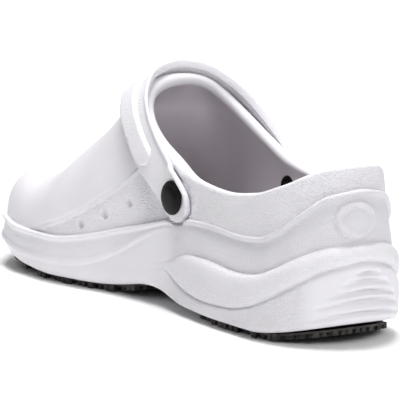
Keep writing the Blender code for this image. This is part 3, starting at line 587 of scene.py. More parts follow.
def across_faces(start: int, count: int) -> Faces:
    """Faces across a ring that runs up one side of the shoe and back along the other.

    Args:
        start: number of the ring's first vertex.
        count: how many vertices the ring has.

    Returns:
        Faces that join each vertex of one side to the one across from it.
    """
    half = count // 2
    left = [start + k for k in range(half + 1)]
    right = [start] + [start + k for k in range(count - 1, half - 1, -1)]
    faces = []
    for k in range(half):
        corners = [left[k], left[k + 1], right[k + 1], right[k]]
        faces.append(tuple(c for n, c in enumerate(corners) if c not in corners[:n]))
    return faces


def write_field(item: bpy.types.Object, name: str, values: np.ndarray) -> None:
    """Store a number for each vertex of a piece, for its finish to read."""
    layer = item.data.attributes.new(name, "FLOAT", "POINT")
    layer.data.foreach_set("value", np.asarray(values, np.float32).ravel())


def write_place(item: bpy.types.Object, name: str, values: np.ndarray) -> None:
    """Store a place on the skin for each vertex of a piece, in metres."""
    layer = item.data.attributes.new(name, "FLOAT_VECTOR", "POINT")
    layer.data.foreach_set("vector", np.asarray(values, np.float32).ravel())


@dataclass
class StrapPath:
    """The strap's inner line: up from the rivets, over the vamp just ahead of the collar."""

    form: LastForm
    rivet_along: float = 0.402
    rivet_height: float = 0.0565
    width: float = 0.0200
    standoff: float = 0.0025
    bow: float = 0.0020
    tail: float = 0.0130
    top_along: float = 0.606
    seat_gap: float = 0.0003
    bead_bulge: float = 0.0009
    search_reach: tuple[float, float] = (0.010, 0.120)
    search_rounds: int = 26
    tail_shares: tuple[float, ...] = (-1.0, -0.5, 0.0, 0.4, 0.8)
    hoop_degrees: tuple[int, int, int] = (24, 157, 11)

    def __post_init__(self) -> None:
        """Work out the rivets' places and the strap's slope."""
        self.rivets = {s: self.form.rivet_place(s, self.rivet_along, self.rivet_height) for s in SIGNS}
        low = self.rivets[1]
        top_x = float(self.form.to_x(self.top_along))
        tilt = math.atan2(float(self.form.crest_height(top_x)) - low[2], top_x - low[0])
        self.origin = np.array([low[0], 0.5 * (self.rivets[1][1] + self.rivets[-1][1]), low[2]])
        self.climb = np.array([math.cos(tilt), 0.0, math.sin(tilt)])
        self.across = np.array([-math.sin(tilt), 0.0, math.cos(tilt)])

    def point(self, y: float, h: float) -> np.ndarray:
        """Place of a point of the strap's line, h up its slope."""
        sag = self.bow * math.sin(2.0 * math.atan2(max(h, 0.0), abs(y))) ** 2
        return self.origin + np.array([0.0, y, 0.0]) + h * self.climb - sag * self.across

    def dome_radius(self, angle: float, across: float) -> float:
        """Distance from the strap's centre to the upper at an angle, on a line beside the middle.

        Args:
            angle: angle about the strap's centre, in radians.
            across: how far the line lies beside the strap's middle.

        Returns:
            The distance, found by halving the reach.
        """
        low, high = self.search_reach
        for _ in range(self.search_rounds):
            middle = 0.5 * (low + high)
            p = self.point(middle * math.cos(angle), middle * math.sin(angle)) + across * self.across
            if p[2] < self.form.dome_height(p[None, :2])[0]:
                low = middle
            else:
                high = middle
        return low

    def inner_line(self, across: float) -> np.ndarray:
        """Places of the strap's inner face, medial end to lateral end.

        Args:
            across: how far the line lies beside the strap's middle.

        Returns:
            Places as rows of x, y and z.
        """
        half = 0.5 * (self.rivets[1][1] - self.rivets[-1][1]) + self.seat_gap
        flat = [(half, share * self.tail) for share in self.tail_shares]
        hoop = []
        for degrees in range(*self.hoop_degrees):
            angle = math.radians(degrees)
            rise = math.sin(angle)
            lift = min(1.0, 2.0 * rise) * (self.bead_bulge + self.seat_gap)
            r = self.dome_radius(angle, across) + self.seat_gap + lift + self.standoff * rise ** 3
            hoop.append((r * math.cos(angle), r * math.sin(angle)))
        line = flat + hoop + [(-y, h) for y, h in reversed(flat)]
        return np.array([self.point(y, h) + across * self.across for y, h in line])


@dataclass
class MouldedUpper:
    """The clog's one-piece foam moulding: sole side, upper, collar bead, inner wall and floor."""

    form: LastForm
    path: StrapPath
    columns: int = 256
    side_rows: tuple[int, ...] = (44, 14, 20, 18)
    body_rows: int = 54
    inner_rows: int = 10
    bead_rows: int = 8
    rim_rows: int = 12
    lip_rows: int = 5
    climb_samples: int = 90
    climb_power: float = 2.2
    girth_samples: int = 4001
    height_samples: int = 801
    # Crowding of the slices: weight, girth share and width
    crowding: tuple[Triple, ...] = ((1.6, 0.03, 0.07), (1.9, 0.57, 0.07), (0.2, 1.0, 0.12))
    # Crowding of the upper's rows at the side panel, likewise
    panel_crowding: Triple = (3.2, 0.11, 0.12)
    wall: float = 0.0040
    bottom_inset: float = 0.0045
    tuck_height: float = 0.0045
    tuck_growth: float = 0.0035
    tuck_change: Span = (0.40, 0.15)
    # Least heights between the lower edge, lobe bottom, lobe top, ridge and lip
    line_gaps: tuple[float, ...] = (0.0015, 0.0010, 0.0012, 0.0006)
    lobe_bulge: float = 0.0017
    lobe_powers: tuple[float, float] = (0.5, 0.8)
    layer_step: float = 0.0021
    shoulder_height: float = 0.0050
    groove_depth: float = 0.0005
    groove_width: float = 0.0011
    lobe_reach: tuple[float, float] = (0.300, 0.414)
    layer_reach: tuple[float, float] = (0.25, 0.48)
    ridge_bulge: float = 0.0013
    ridge_step: float = 0.0009
    ridge_width: float = 0.0013
    step_bulge: float = 0.0015
    step_width: float = 0.0011
    lip_drop: float = 0.0012
    lip_radius: float = 0.0011
    ledge_shares: tuple[float, ...] = (0.30, 0.65, 0.92)
    bead_width: float = 0.0060
    bead_bulge: float = 0.0009
    bead_crease: float = 0.0006
    crease_shares: tuple[float, ...] = (0.4, 1.0, 0.6)
    # How far the bead rolls inwards on the medial and on the lateral side
    bead_roll: tuple[float, float] = (0.0030, 0.0012)
    roll_change: float = 0.050
    bead_fade: Span = (-0.050, 0.030)
    rim_degrees: tuple[float, float] = (15.0, 205.0)
    heel_lean: float = 0.0026
    rib_depth: float = 0.0024
    rib_ridge: float = 0.0007
    rib_width: float = 0.0010
    rib_fade: tuple[float, float] = (1.15, 0.6)
    # The ridge over each rib groove: its height over it and its width, over the rib's width
    rib_ridge_form: tuple[float, float] = (1.8, 1.2)
    rib_zone_deg: Span = (50.0, -14.0)
    dimple_radius: float = 0.0028
    dimple_depth: float = 0.0019
    dimple_fall: Span = (1.0, -0.5)
    dimple_clear: Span = (0.9, 0.3)
    panel_depth: float = 0.0002
    welt_rise: float = 0.0011
    welt_width_mm: float = 1.1
    panel_fade_mm: tuple[Span, Span] = ((-32.0, 30.0), (88.0, -8.0))
    welt_fade_mm: tuple[Span, Span] = ((-20.0, 20.0), (82.0, -16.0))
    heel_grain_mm: Span = (10.0, -12.0)
    roundel_place: tuple[float, float] = (0.004, 0.061)
    roundel_half: tuple[float, float] = (0.0126, 0.0088)
    roundel_rise: float = 0.0015
    roundel_rim: float = 0.0008
    # The roundel's edge, its raised rim and the hollow inside that, as shares of its half size
    roundel_edge: Span = (1.06, -0.16)
    rim_line: tuple[float, float] = (0.88, 0.13)
    hollow_line: tuple[float, float] = (0.64, 0.14)
    hollow_depth: float = 0.6
    seat_margin: float = 0.0012
    seat_reach: float = 0.0170
    seat_edge: float = 0.0007
    inner_end: float = 0.02
    # Rows down to the floor: share of the height from floor to step, and extra inset
    floor_rows: tuple[tuple[float, float], ...] = (
        (0.75, 0.0), (0.5, 0.0), (0.3, 0.0), (0.14, 0.0008), (0.04, 0.0018), (0.0, 0.0030))
    texture_edge: float = 0.0008
    panel_grain: float = 0.55
    lobe_grain: float = 0.65
    front_grain: float = 0.2
    # Painted light: where the lighter inside colour fades in, as shares of the rim's rows past the outside
    inside_light_fade: Span = (0.5, 0.7)

    def __post_init__(self) -> None:
        """Lay out the upright slices round the shoe."""
        girth = self.column_girths()
        self.girth = np.concatenate((girth, girth[-2:0:-1]))
        self.side = np.concatenate((np.ones(len(girth)), -np.ones(len(girth) - 2))).astype(int)
        form = self.form
        self.edge = np.array([form.outline_at(s, g) for s, g in zip(self.side, self.girth)])
        foot_x = np.clip(self.edge[:, 0], form.heel_centre[0], form.toe_centre[0])
        self.foot = np.column_stack((foot_x, form.centre_line(foot_x)))
        rel = self.edge - self.foot
        self.direction = rel / np.hypot(rel[:, 0], rel[:, 1])[:, None]
        self.low = form.underside(self.edge[:, 0])
        self.targets = self.collar_targets()
        self.bead = ramp(self.targets[:, 0], self.bead_fade)
        medial, lateral = self.bead_roll
        roll = lateral + (medial - lateral) * smooth(0.5 + self.targets[:, 1] / self.roll_change)
        self.rim_radius = 0.5 * (self.wall + self.bead * (self.bead_bulge + roll))
        spoke = self.edge - form.heel_centre
        self.heel_angle = np.arctan2(np.abs(spoke[:, 1]), -spoke[:, 0])

    def column_girths(self) -> np.ndarray:
        """Girth shares of the slices on one side, closer together at the heel ribs and the dimples.

        Returns:
            Shares from 0 to 1 in rising order.
        """
        g = np.linspace(0.0, 1.0, self.girth_samples)
        density = np.ones(len(g))
        for weight, middle, width in self.crowding:
            density = density + weight * bell(g - middle, width)
        total = np.concatenate(([0.0], np.cumsum(0.5 * (density[1:] + density[:-1]))))
        return np.interp(np.linspace(0.0, total[-1], self.columns), total, g)

    def side_inset(self, height: np.ndarray) -> np.ndarray:
        """Inset of the moulded side from the outline at one height for each slice.

        Args:
            height: one height for each slice.

        Returns:
            The inset of each slice, inwards.
        """
        g = self.girth
        step, top, bottom = (self.form.line(k, g) for k in (1, 2, 3))
        ridge = self.form.sole_height * rounded_line(LOWER_RIDGE, 1, g)
        firm = curve_through(LOWER_RIDGE, 2, g)
        lobe_start, lobe_tip = self.lobe_reach
        lobe = np.sqrt(1.0 - np.clip((g - lobe_start) / (lobe_tip - lobe_start), 0.0, 1.0) ** 2)
        layer_start, layer_end = self.layer_reach
        layer = smooth((layer_end - g) / (layer_end - layer_start))
        t = (height - 0.5 * (top + bottom)) / (0.5 * (top - bottom))
        layers = layer * self.layer_step * (self.shoulder(height, bottom) + self.shoulder(height, top))
        grooves = bell(height - bottom, self.groove_width) + bell(height - top, self.groove_width)
        groove = lobe * self.groove_depth * grooves
        bulge = lobe * self.lobe_bulge * np.maximum(0.0, 1.0 - t * t) ** np.where(t > 0.0, *self.lobe_powers)
        lean = layer * self.heel_lean * smooth((height - top) / (step - top))
        heel_zone = layers + groove - bulge + lean
        band = (1.0 - layer) * 0.5 * self.form.lean_at(g) * smooth((height - ridge) / (step - ridge))
        band = band + self.ridge_step * firm * self.shoulder(height, ridge)
        crest = (firm * self.ridge_bulge * bell(height - ridge, self.ridge_width)
                 + self.step_bulge * bell(height - step + self.lip_drop, self.step_width))
        return heel_zone + band - crest + self.ribs(height) - self.roundel(height) + self.tuck(height)

    def shoulder(self, height: np.ndarray, line: np.ndarray) -> np.ndarray:
        """Rounded shoulder under a line of the side: 0 below it, rising to 1 at the line and above."""
        t = np.clip(1.0 - (line - height) / self.shoulder_height, 0.0, 1.0)
        return 1.0 - np.sqrt(1.0 - t * t)

    def tuck(self, height: np.ndarray) -> np.ndarray:
        """Rounding under of the side above its lower edge.

        Args:
            height: one height for each slice.

        Returns:
            The inset of each slice, inwards.
        """
        tall = self.tuck_height + self.tuck_growth * ramp(self.girth, self.tuck_change)
        t = np.maximum(0.0, 1.0 - (height - self.low) / tall)
        return self.bottom_inset * (1.0 - np.sqrt(np.maximum(0.0, 1.0 - t * t)))

    def ribs(self, height: np.ndarray) -> np.ndarray:
        """Depth of the heel's rib grooves, fading out at both ends of each.

        Args:
            height: one height for each slice.

        Returns:
            The depth on each slice, negative on the ridge over a groove.
        """
        bottom = np.maximum(self.form.line(3, self.girth), self.low + self.line_gaps[0])
        reach, power = self.rib_fade
        above, spread = self.rib_ridge_form
        total = np.zeros(len(height))
        for share, sweep in HEEL_RIBS:
            level = self.low + share * (bottom - self.low)
            fade = np.clip(reach - np.degrees(self.heel_angle) / sweep, 0.0, 1.0) ** power
            over = height - level
            total += self.rib_depth * fade * bell(over, self.rib_width)
            total -= self.rib_ridge * fade * bell(over - above * self.rib_width, spread * self.rib_width)
        return total

    def roundel(self, height: np.ndarray) -> np.ndarray:
        """Rise of the plain oval roundel on the back of the heel, with a concentric raised rim.

        Args:
            height: one height for each slice.

        Returns:
            The rise on each slice, outwards.
        """
        arc = self.side * self.girth * self.form.girth_length - self.roundel_place[0]
        r = np.hypot(arc / self.roundel_half[0], (height - self.roundel_place[1]) / self.roundel_half[1])
        (rim_at, rim_wide), (hollow_at, hollow_wide) = self.rim_line, self.hollow_line
        rim = bell(r - rim_at, rim_wide) - self.hollow_depth * bell(r - hollow_at, hollow_wide)
        return self.roundel_rise * ramp(r, self.roundel_edge) + self.roundel_rim * rim

    def slice_points(self, inset: np.ndarray, height: np.ndarray) -> np.ndarray:
        """One row of points at an inset and a height for each slice."""
        plan = self.edge - self.direction * np.asarray(inset)[:, None]
        return np.column_stack((plan, np.broadcast_to(height, len(plan))))

    def side_grid(self) -> list[np.ndarray]:
        """Rows of the sole's side, over its lip and on to the ledge.

        Returns:
            Rows of points, one point for each slice.
        """
        step, top, bottom = (self.form.line(k, self.girth) for k in (1, 2, 3))
        ridge = self.form.sole_height * rounded_line(LOWER_RIDGE, 1, self.girth)
        foot_gap, lobe_gap, ridge_gap, lip_gap = self.line_gaps
        bottom = np.maximum(bottom, self.low + foot_gap)
        top = np.maximum(top, bottom + lobe_gap)
        ridge = np.maximum(ridge, top + ridge_gap)
        lip_start = step - self.lip_radius
        stops = [self.low, bottom, top, np.minimum(ridge, lip_start - lip_gap), lip_start]
        rows = []
        for first, last, count in zip(stops[:-1], stops[1:], self.side_rows):
            shares = np.arange(count) / count if first is self.low else spaced(count)
            for share in shares:
                height = first + share * (last - first)
                rows.append(self.slice_points(self.side_inset(height), height))
        inset = self.side_inset(lip_start)
        for angle in np.linspace(0.0, 0.5 * math.pi, self.lip_rows):
            height = lip_start + self.lip_radius * math.sin(angle)
            rows.append(self.slice_points(inset + self.lip_radius * (1.0 - math.cos(angle)), height))
        ledge_from = inset + self.lip_radius
        ledge_to = self.form.upper_inset(self.girth)
        for share in self.ledge_shares:
            rows.append(self.slice_points(ledge_from + share * (ledge_to - ledge_from), step))
        return rows

    def collar_targets(self) -> np.ndarray:
        """Plan point of the collar's edge that each slice climbs to.

        Returns:
            Plan points as rows of x and y.
        """
        form = self.form
        targets = []
        split_x = float(form.to_x(form.last_upright))
        for side, girth, edge, direction in zip(self.side, self.girth, self.edge, self.direction):
            points, along = form.collars[side], form.collar_lengths(side)
            split_girth = float(form.girth_at_x(side, split_x))
            if girth > split_girth:
                first = float(np.interp(split_x, points[:, 0], along))
                length = first + (along[-1] - first) * (girth - split_girth) / (1.0 - split_girth)
            elif edge[0] <= form.heel_centre[0]:
                rel = points - form.heel_centre
                angle = fan_angle(side, rel)
                order = np.argsort(angle)
                length = float(np.interp(fan_angle(side, direction), angle[order], along[order]))
            else:
                length = float(np.interp(edge[0], points[:, 0], along))
            targets.append([np.interp(length, along, points[:, k]) for k in (0, 1)])
        return np.array(targets)

    def upper_grid(self) -> tuple[np.ndarray, np.ndarray]:
        """Rows of the upper's base form, from the ledge to the collar, and the points of its top edge.

        Returns:
            The rows, and the top point of each slice.
        """
        start = self.edge - self.direction * self.form.upper_inset(self.girth)[:, None]
        end = self.targets
        share = np.linspace(0.0, 1.0, self.climb_samples) ** self.climb_power
        plan = start[:, None, :] + share[None, :, None] * (end - start)[:, None, :]
        heights = self.form.dome_height(plan.reshape(-1, 2)).reshape(plan.shape[:2])
        heights[:, 0] = self.form.line(1, self.girth)
        paths = np.concatenate((plan, heights[:, :, None]), axis=2)
        fine = np.linspace(0.0, 1.0, self.height_samples)
        weight, middle, width = self.panel_crowding
        density = np.cumsum(1.0 + weight * bell(fine - middle, width))
        body = np.interp(np.linspace(density[0], density[-1], self.body_rows), density, fine)
        self.body_shares = body
        rows = []
        for points, rim_radius in zip(paths, self.rim_radius):
            run = np.concatenate(([0.0], np.cumsum(np.linalg.norm(np.diff(points, axis=0), axis=1))))
            total = run[-1]
            bead = np.linspace(total - self.bead_width, total - rim_radius, self.bead_rows + 1)[1:]
            at = np.concatenate((body * (total - self.bead_width), bead))
            rows.append(np.column_stack([np.interp(at, run, points[:, k]) for k in range(3)]))
        return np.array(rows).transpose(1, 0, 2), paths[:, -1, :]

    def normals(self, grid: np.ndarray) -> np.ndarray:
        """Outward unit normals of a grid of rows up the side.

        Args:
            grid: rows of points, one point for each slice.

        Returns:
            A unit normal for each point.
        """
        around = np.roll(grid, -1, axis=1) - np.roll(grid, 1, axis=1)
        normal = np.cross(around, np.gradient(grid, axis=0))
        normal /= np.maximum(np.linalg.norm(normal, axis=2, keepdims=True), 1e-12)
        if ((grid - grid.mean(axis=(0, 1))) * normal).sum() < 0.0:
            normal = -normal
        return normal

    def panel_relief(self, points: np.ndarray) -> np.ndarray:
        """Depth of the grained side panel and its dimples at points of the upper's rows.

        Args:
            points: places, with x, y and z last.

        Returns:
            The depth at each place, negative on the welt along the panel's edge.
        """
        x, below = points[..., 0] / MM, self.below_panel_line(points)
        start, end = self.panel_fade_mm
        inside = smooth(below + 0.5) * ramp(x, start) * ramp(x, end)
        start, end = self.welt_fade_mm
        welt = self.welt_rise * (ramp(x, start) * ramp(x, end)) * bell(below, self.welt_width_mm)
        dimples = self.dimple_depth * ramp(self.dimple_reach(points), self.dimple_fall)
        return self.panel_depth * inside - welt + dimples

    def below_panel_line(self, points: np.ndarray) -> np.ndarray:
        """How far points lie below the side panel's upper edge, in millimetres."""
        return np.interp(points[..., 0] / MM, PANEL_LINE[:, 0], PANEL_LINE[:, 1]) - points[..., 2] / MM

    def dimple_reach(self, points: np.ndarray) -> np.ndarray:
        """Distance of points from the nearest dimple's middle, over the dimple's radius.

        Args:
            points: places, with x, y and z last.

        Returns:
            The distance of each place.
        """
        places = [self.form.rivet_place(side, along, rise * self.form.sole_height)
                  for along, rise in DIMPLES for side in SIGNS]
        nearest = np.min([np.linalg.norm(points - place, axis=-1) for place in places], axis=0)
        return nearest / self.dimple_radius

    def seat(self, points: np.ndarray) -> np.ndarray:
        """The points with the strap's flat seats pressed into them.

        Args:
            points: places, with x, y and z last.

        Returns:
            The places, moved in under the strap's ends.
        """
        moved = points.copy()
        radius = 0.5 * self.path.width + self.seat_margin
        start = 0.5 * self.path.width - self.path.tail
        for side in SIGNS:
            rel = points - self.path.rivets[side]
            h, u = rel @ self.path.climb, rel @ self.path.across
            beyond = np.maximum(0.0, start - h) + np.maximum(0.0, h - self.seat_reach)
            inside = smooth((radius - np.hypot(u, beyond)) / self.seat_edge + 0.5)
            out = np.clip(side * rel[..., 1], 0.0, None)
            near = side * points[..., 1] > 0.0
            moved[..., 1] -= side * out * inside * near
        return moved

    def outer_grid(self, base: np.ndarray, normal: np.ndarray) -> np.ndarray:
        """The upper's outside: its base form with the collar's bead and crease and the panel's relief.

        Args:
            base: rows of the base form.
            normal: its outward unit normals.

        Returns:
            The rows, moved along their normals.
        """
        first_bead = len(base) - self.bead_rows
        rise, crease = np.zeros(len(base)), np.zeros(len(base))
        t = np.linspace(0.0, 1.0, self.bead_rows + 1)[1:]
        rise[first_bead:] = self.bead_bulge * np.sqrt(1.0 - (1.0 - t) ** 2)
        crease[first_bead - 2:first_bead + 1] = self.bead_crease * np.array(self.crease_shares)
        relief = self.panel_relief(base)
        relief[first_bead:] = 0.0
        return base + normal * (rise[:, None] * self.bead - crease[:, None] * self.bead - relief)[:, :, None]

    def rim_grid(self, base: np.ndarray, normal: np.ndarray, tops: np.ndarray) -> np.ndarray:
        """Rows over the collar's rounded edge, from the outside to the inside.

        Args:
            base: rows of the base form.
            normal: its outward unit normals.
            tops: top point of each slice.

        Returns:
            The rows.
        """
        middle = base[-1] + normal[-1] * (self.bead * self.bead_bulge - self.rim_radius)[:, None]
        climb = tops - base[-1]
        climb -= (climb * normal[-1]).sum(axis=1, keepdims=True) * normal[-1]
        climb /= np.linalg.norm(climb, axis=1, keepdims=True)
        return np.array([middle + self.rim_radius[:, None] * (math.cos(a) * normal[-1] + math.sin(a) * climb)
                         for a in np.radians(np.linspace(*self.rim_degrees, self.rim_rows))])

    def inner_grid(self, base: np.ndarray, normal: np.ndarray) -> np.ndarray:
        """Rows down the inner wall and out to the floor's edge.

        Args:
            base: rows of the base form.
            normal: its outward unit normals.

        Returns:
            The rows.
        """
        wanted = np.linspace(1.0, self.inner_end, self.inner_rows)
        picks = [int(np.argmin(np.abs(self.body_shares - share))) for share in wanted]
        rows = [base[k] - normal[k] * self.wall for k in picks]
        thick = self.form.upper_inset(self.girth) + self.wall
        floor = self.form.floor_height(self.edge[:, 0])
        step = self.form.line(1, self.girth)
        for share, extra in self.floor_rows:
            rows.append(self.slice_points(thick + extra, floor + share * (step - floor)))
        return np.array(rows)

    def build(self) -> bpy.types.Object:
        """Build the moulding as one closed mesh with its skin fields.

        Returns:
            The moulding.
        """
        side = np.array(self.side_grid())
        base, tops = self.upper_grid()
        normal = self.normals(base)
        outside = self.seat(np.concatenate((side, self.outer_grid(base, normal))))
        rim = self.rim_grid(base, normal, tops)
        grid = np.concatenate((outside, rim, self.inner_grid(base, normal)))
        rows, count = grid.shape[:2]
        faces = stack_faces(rows, count) + across_faces(0, count) + across_faces((rows - 1) * count, count)
        self.floor_ring = grid[-1].copy()
        item = mesh_object("moulded_foam_upper", grid.reshape(-1, 3), faces)
        self.write_fields(item, grid, len(side), len(outside))
        return item

    def write_fields(self, item: bpy.types.Object, grid: np.ndarray, side_end: int, outer_end: int) -> None:
        """Store which texture of the mould each vertex has, and its place on the skin.

        Args:
            item: the moulding.
            grid: its rows of points.
            side_end: number of the first row past the sole's side.
            outer_end: number of the first row past the outside.
        """
        top, bottom = self.form.line(2, self.girth), self.form.line(3, self.girth)
        strength = curve_through(SIDE_LINES, 4, self.girth)
        z, x = grid[..., 2], grid[..., 0] / MM
        row = np.arange(len(grid))[:, None] * np.ones(grid.shape[1])
        on_side = row < side_end
        on_upper = (row >= side_end) & (row < outer_end)
        off_lobe = np.maximum(smooth((z - top) / self.texture_edge), smooth((bottom - z) / self.texture_edge))
        linen = on_side * strength * off_lobe
        lobe = on_side * (strength * (1.0 - off_lobe) + self.front_grain * (1.0 - strength))
        panel = smooth(self.below_panel_line(grid) + 0.5) * (x < self.panel_fade_mm[1][0])
        upper = np.maximum(self.panel_grain * panel, ramp(x, self.heel_grain_mm))
        grain = np.where(on_upper, upper, self.lobe_grain * lobe)
        start, reach = self.rib_zone_deg
        ribbed = (z < bottom) * ramp(self.heel_angle, (math.radians(start), math.radians(reach)))
        write_field(item, "leather_grain", grain * ramp(self.dimple_reach(grid), self.dimple_clear))
        write_field(item, "linen_weave", linen * (1.0 - ribbed))
        # Painted light: past the collar's rim the skin takes the lighter inside colour, brightening the
        # shaded interior
        start, reach = self.inside_light_fade
        past_rim = row - outer_end - start * self.rim_rows
        write_field(item, "inside", smooth(past_rim / (reach * self.rim_rows)))
        around = self.side * self.girth * self.form.girth_length
        write_place(item, "skin_place", np.stack((np.broadcast_to(around, z.shape), z, 0.0 * z), axis=-1))


@dataclass
class SwingStrap:
    """The swing strap: one moulded band with a raised rear rim and a pad on its front half."""

    path: StrapPath
    thickness: float = 0.0030
    rim_width: float = 0.0022
    rim_rise: float = 0.0009
    rim_edge: float = 0.0006
    # The rim's share of its height at the strap's ends, and the share that it gains from there
    rim_fade: tuple[float, float] = (0.6, 0.4)
    pad_width: float = 0.0110
    pad_thickness: float = 0.0019
    pad_edge: float = 0.0018
    pad_margin: float = 0.0014
    pad_start: float = 0.0250
    edge_round: float = 0.0012
    outer_samples: int = 64
    inner_samples: int = 10
    spacing: float = 0.0009
    end_degrees: float = 7.0
    end_rings: int = 12
    tip_crowding: float = 1.8
    tip_reach: float = 0.0060
    length_samples: int = 2000
    rounding_share: float = 0.6
    sharp_degrees: float = 50.0
    grain: float = 0.35

    def raise_at(self, u: np.ndarray, from_end: float, half: float) -> np.ndarray:
        """Height of the strap's outer relief over its plain face.

        Args:
            u: places across the strap from its middle.
            from_end: length from the strap's nearer end.
            half: half of the strap's width there.

        Returns:
            The height at each place.
        """
        full = 0.5 * self.path.width
        rim = self.rim_rise * ramp(u, (half - self.rim_width, self.rim_edge))
        rim = rim * (self.rim_fade[0] + self.rim_fade[1] * smooth(from_end / full))
        middle = -full + self.pad_margin + 0.5 * self.pad_width
        tip = self.path.tail + self.pad_start + 0.5 * self.pad_width
        distance = np.hypot(u - middle, min(0.0, from_end - tip))
        depth = np.clip((0.5 * self.pad_width - distance) / self.pad_edge, 0.0, 1.0)
        return rim + self.pad_thickness * np.sqrt(1.0 - (1.0 - depth) ** 2)

    def ring_lengths(self, total: float) -> np.ndarray:
        """Where the strap's rings lie, closer together at its ends and at the pad's tips.

        Args:
            total: the strap's length.

        Returns:
            Lengths from the strap's medial end.
        """
        full = 0.5 * self.path.width
        ends = full * (1.0 - np.cos(np.radians(np.linspace(self.end_degrees, 90.0, self.end_rings))))
        places = np.linspace(full, total - full, self.length_samples)
        tip = self.path.tail + self.pad_start
        near_tip = bell(np.minimum(places, total - places) - tip, self.tip_reach)
        steps = np.cumsum(1.0 + self.tip_crowding * near_tip) * (places[1] - places[0]) / self.spacing
        body = np.interp(np.linspace(steps[0], steps[-1], int(steps[-1])), steps, places)[1:-1]
        return np.concatenate((ends, body, total - ends[::-1]))

    def section(self, from_end: float) -> tuple[np.ndarray, np.ndarray]:
        """Cross-section of the strap: its outer face with rounded edges, then its inner face.

        Args:
            from_end: length from the strap's nearer end.

        Returns:
            Places across the strap, and heights over its inner face.
        """
        full = 0.5 * self.path.width
        half = math.sqrt(full ** 2 - max(0.0, full - from_end) ** 2)
        u = half * np.sin(np.linspace(0.5 * math.pi, -0.5 * math.pi, self.outer_samples))
        rounding = min(self.edge_round, self.rounding_share * half)
        from_edge = np.clip((half - np.abs(u)) / rounding, 0.0, 1.0)
        shoulder = self.edge_round * (1.0 - np.sqrt(1.0 - (1.0 - from_edge) ** 2))
        v = self.thickness + self.raise_at(u, from_end, half) - shoulder
        under = np.linspace(-half, half, self.inner_samples + 2)[1:-1]
        return np.concatenate((u, under)), np.concatenate((v, np.zeros(self.inner_samples)))

    def build(self) -> bpy.types.Object:
        """Build the strap as one closed mesh.

        Returns:
            The strap.
        """
        front, rear = (self.path.inner_line(share * self.path.width) for share in (-0.5, 0.5))
        line = 0.5 * (front + rear)
        across = (rear - front) / np.linalg.norm(rear - front, axis=1, keepdims=True)
        outward = np.cross(across, np.gradient(line, axis=0))
        outward /= np.linalg.norm(outward, axis=1, keepdims=True)
        run = np.concatenate(([0.0], np.cumsum(np.linalg.norm(np.diff(line, axis=0), axis=1))))
        frames = (line, across, outward)
        columns = [np.column_stack([run, vectors[:, k]]) for vectors in frames for k in range(3)]
        rings = []
        for length in self.ring_lengths(run[-1]):
            values = np.array([float(curve_through(table, 1, length)) for table in columns]).reshape(3, 3)
            u, v = self.section(min(length, run[-1] - length))
            rings.append(values[0] + u[:, None] * values[1] + v[:, None] * values[2])
        grid = np.array(rings)
        rows, count = grid.shape[:2]
        last = (rows - 1) * count
        faces = stack_faces(rows, count) + [tuple(range(count)), tuple(last + k for k in range(count))]
        item = mesh_object("swing_strap_band", grid.reshape(-1, 3), faces, self.sharp_degrees)
        for name, value in (("leather_grain", self.grain), ("linen_weave", 0.0), ("inside", 0.0)):
            write_field(item, name, np.full(rows * count, value))
        write_place(item, "skin_place", grid.reshape(-1, 3))
        return item


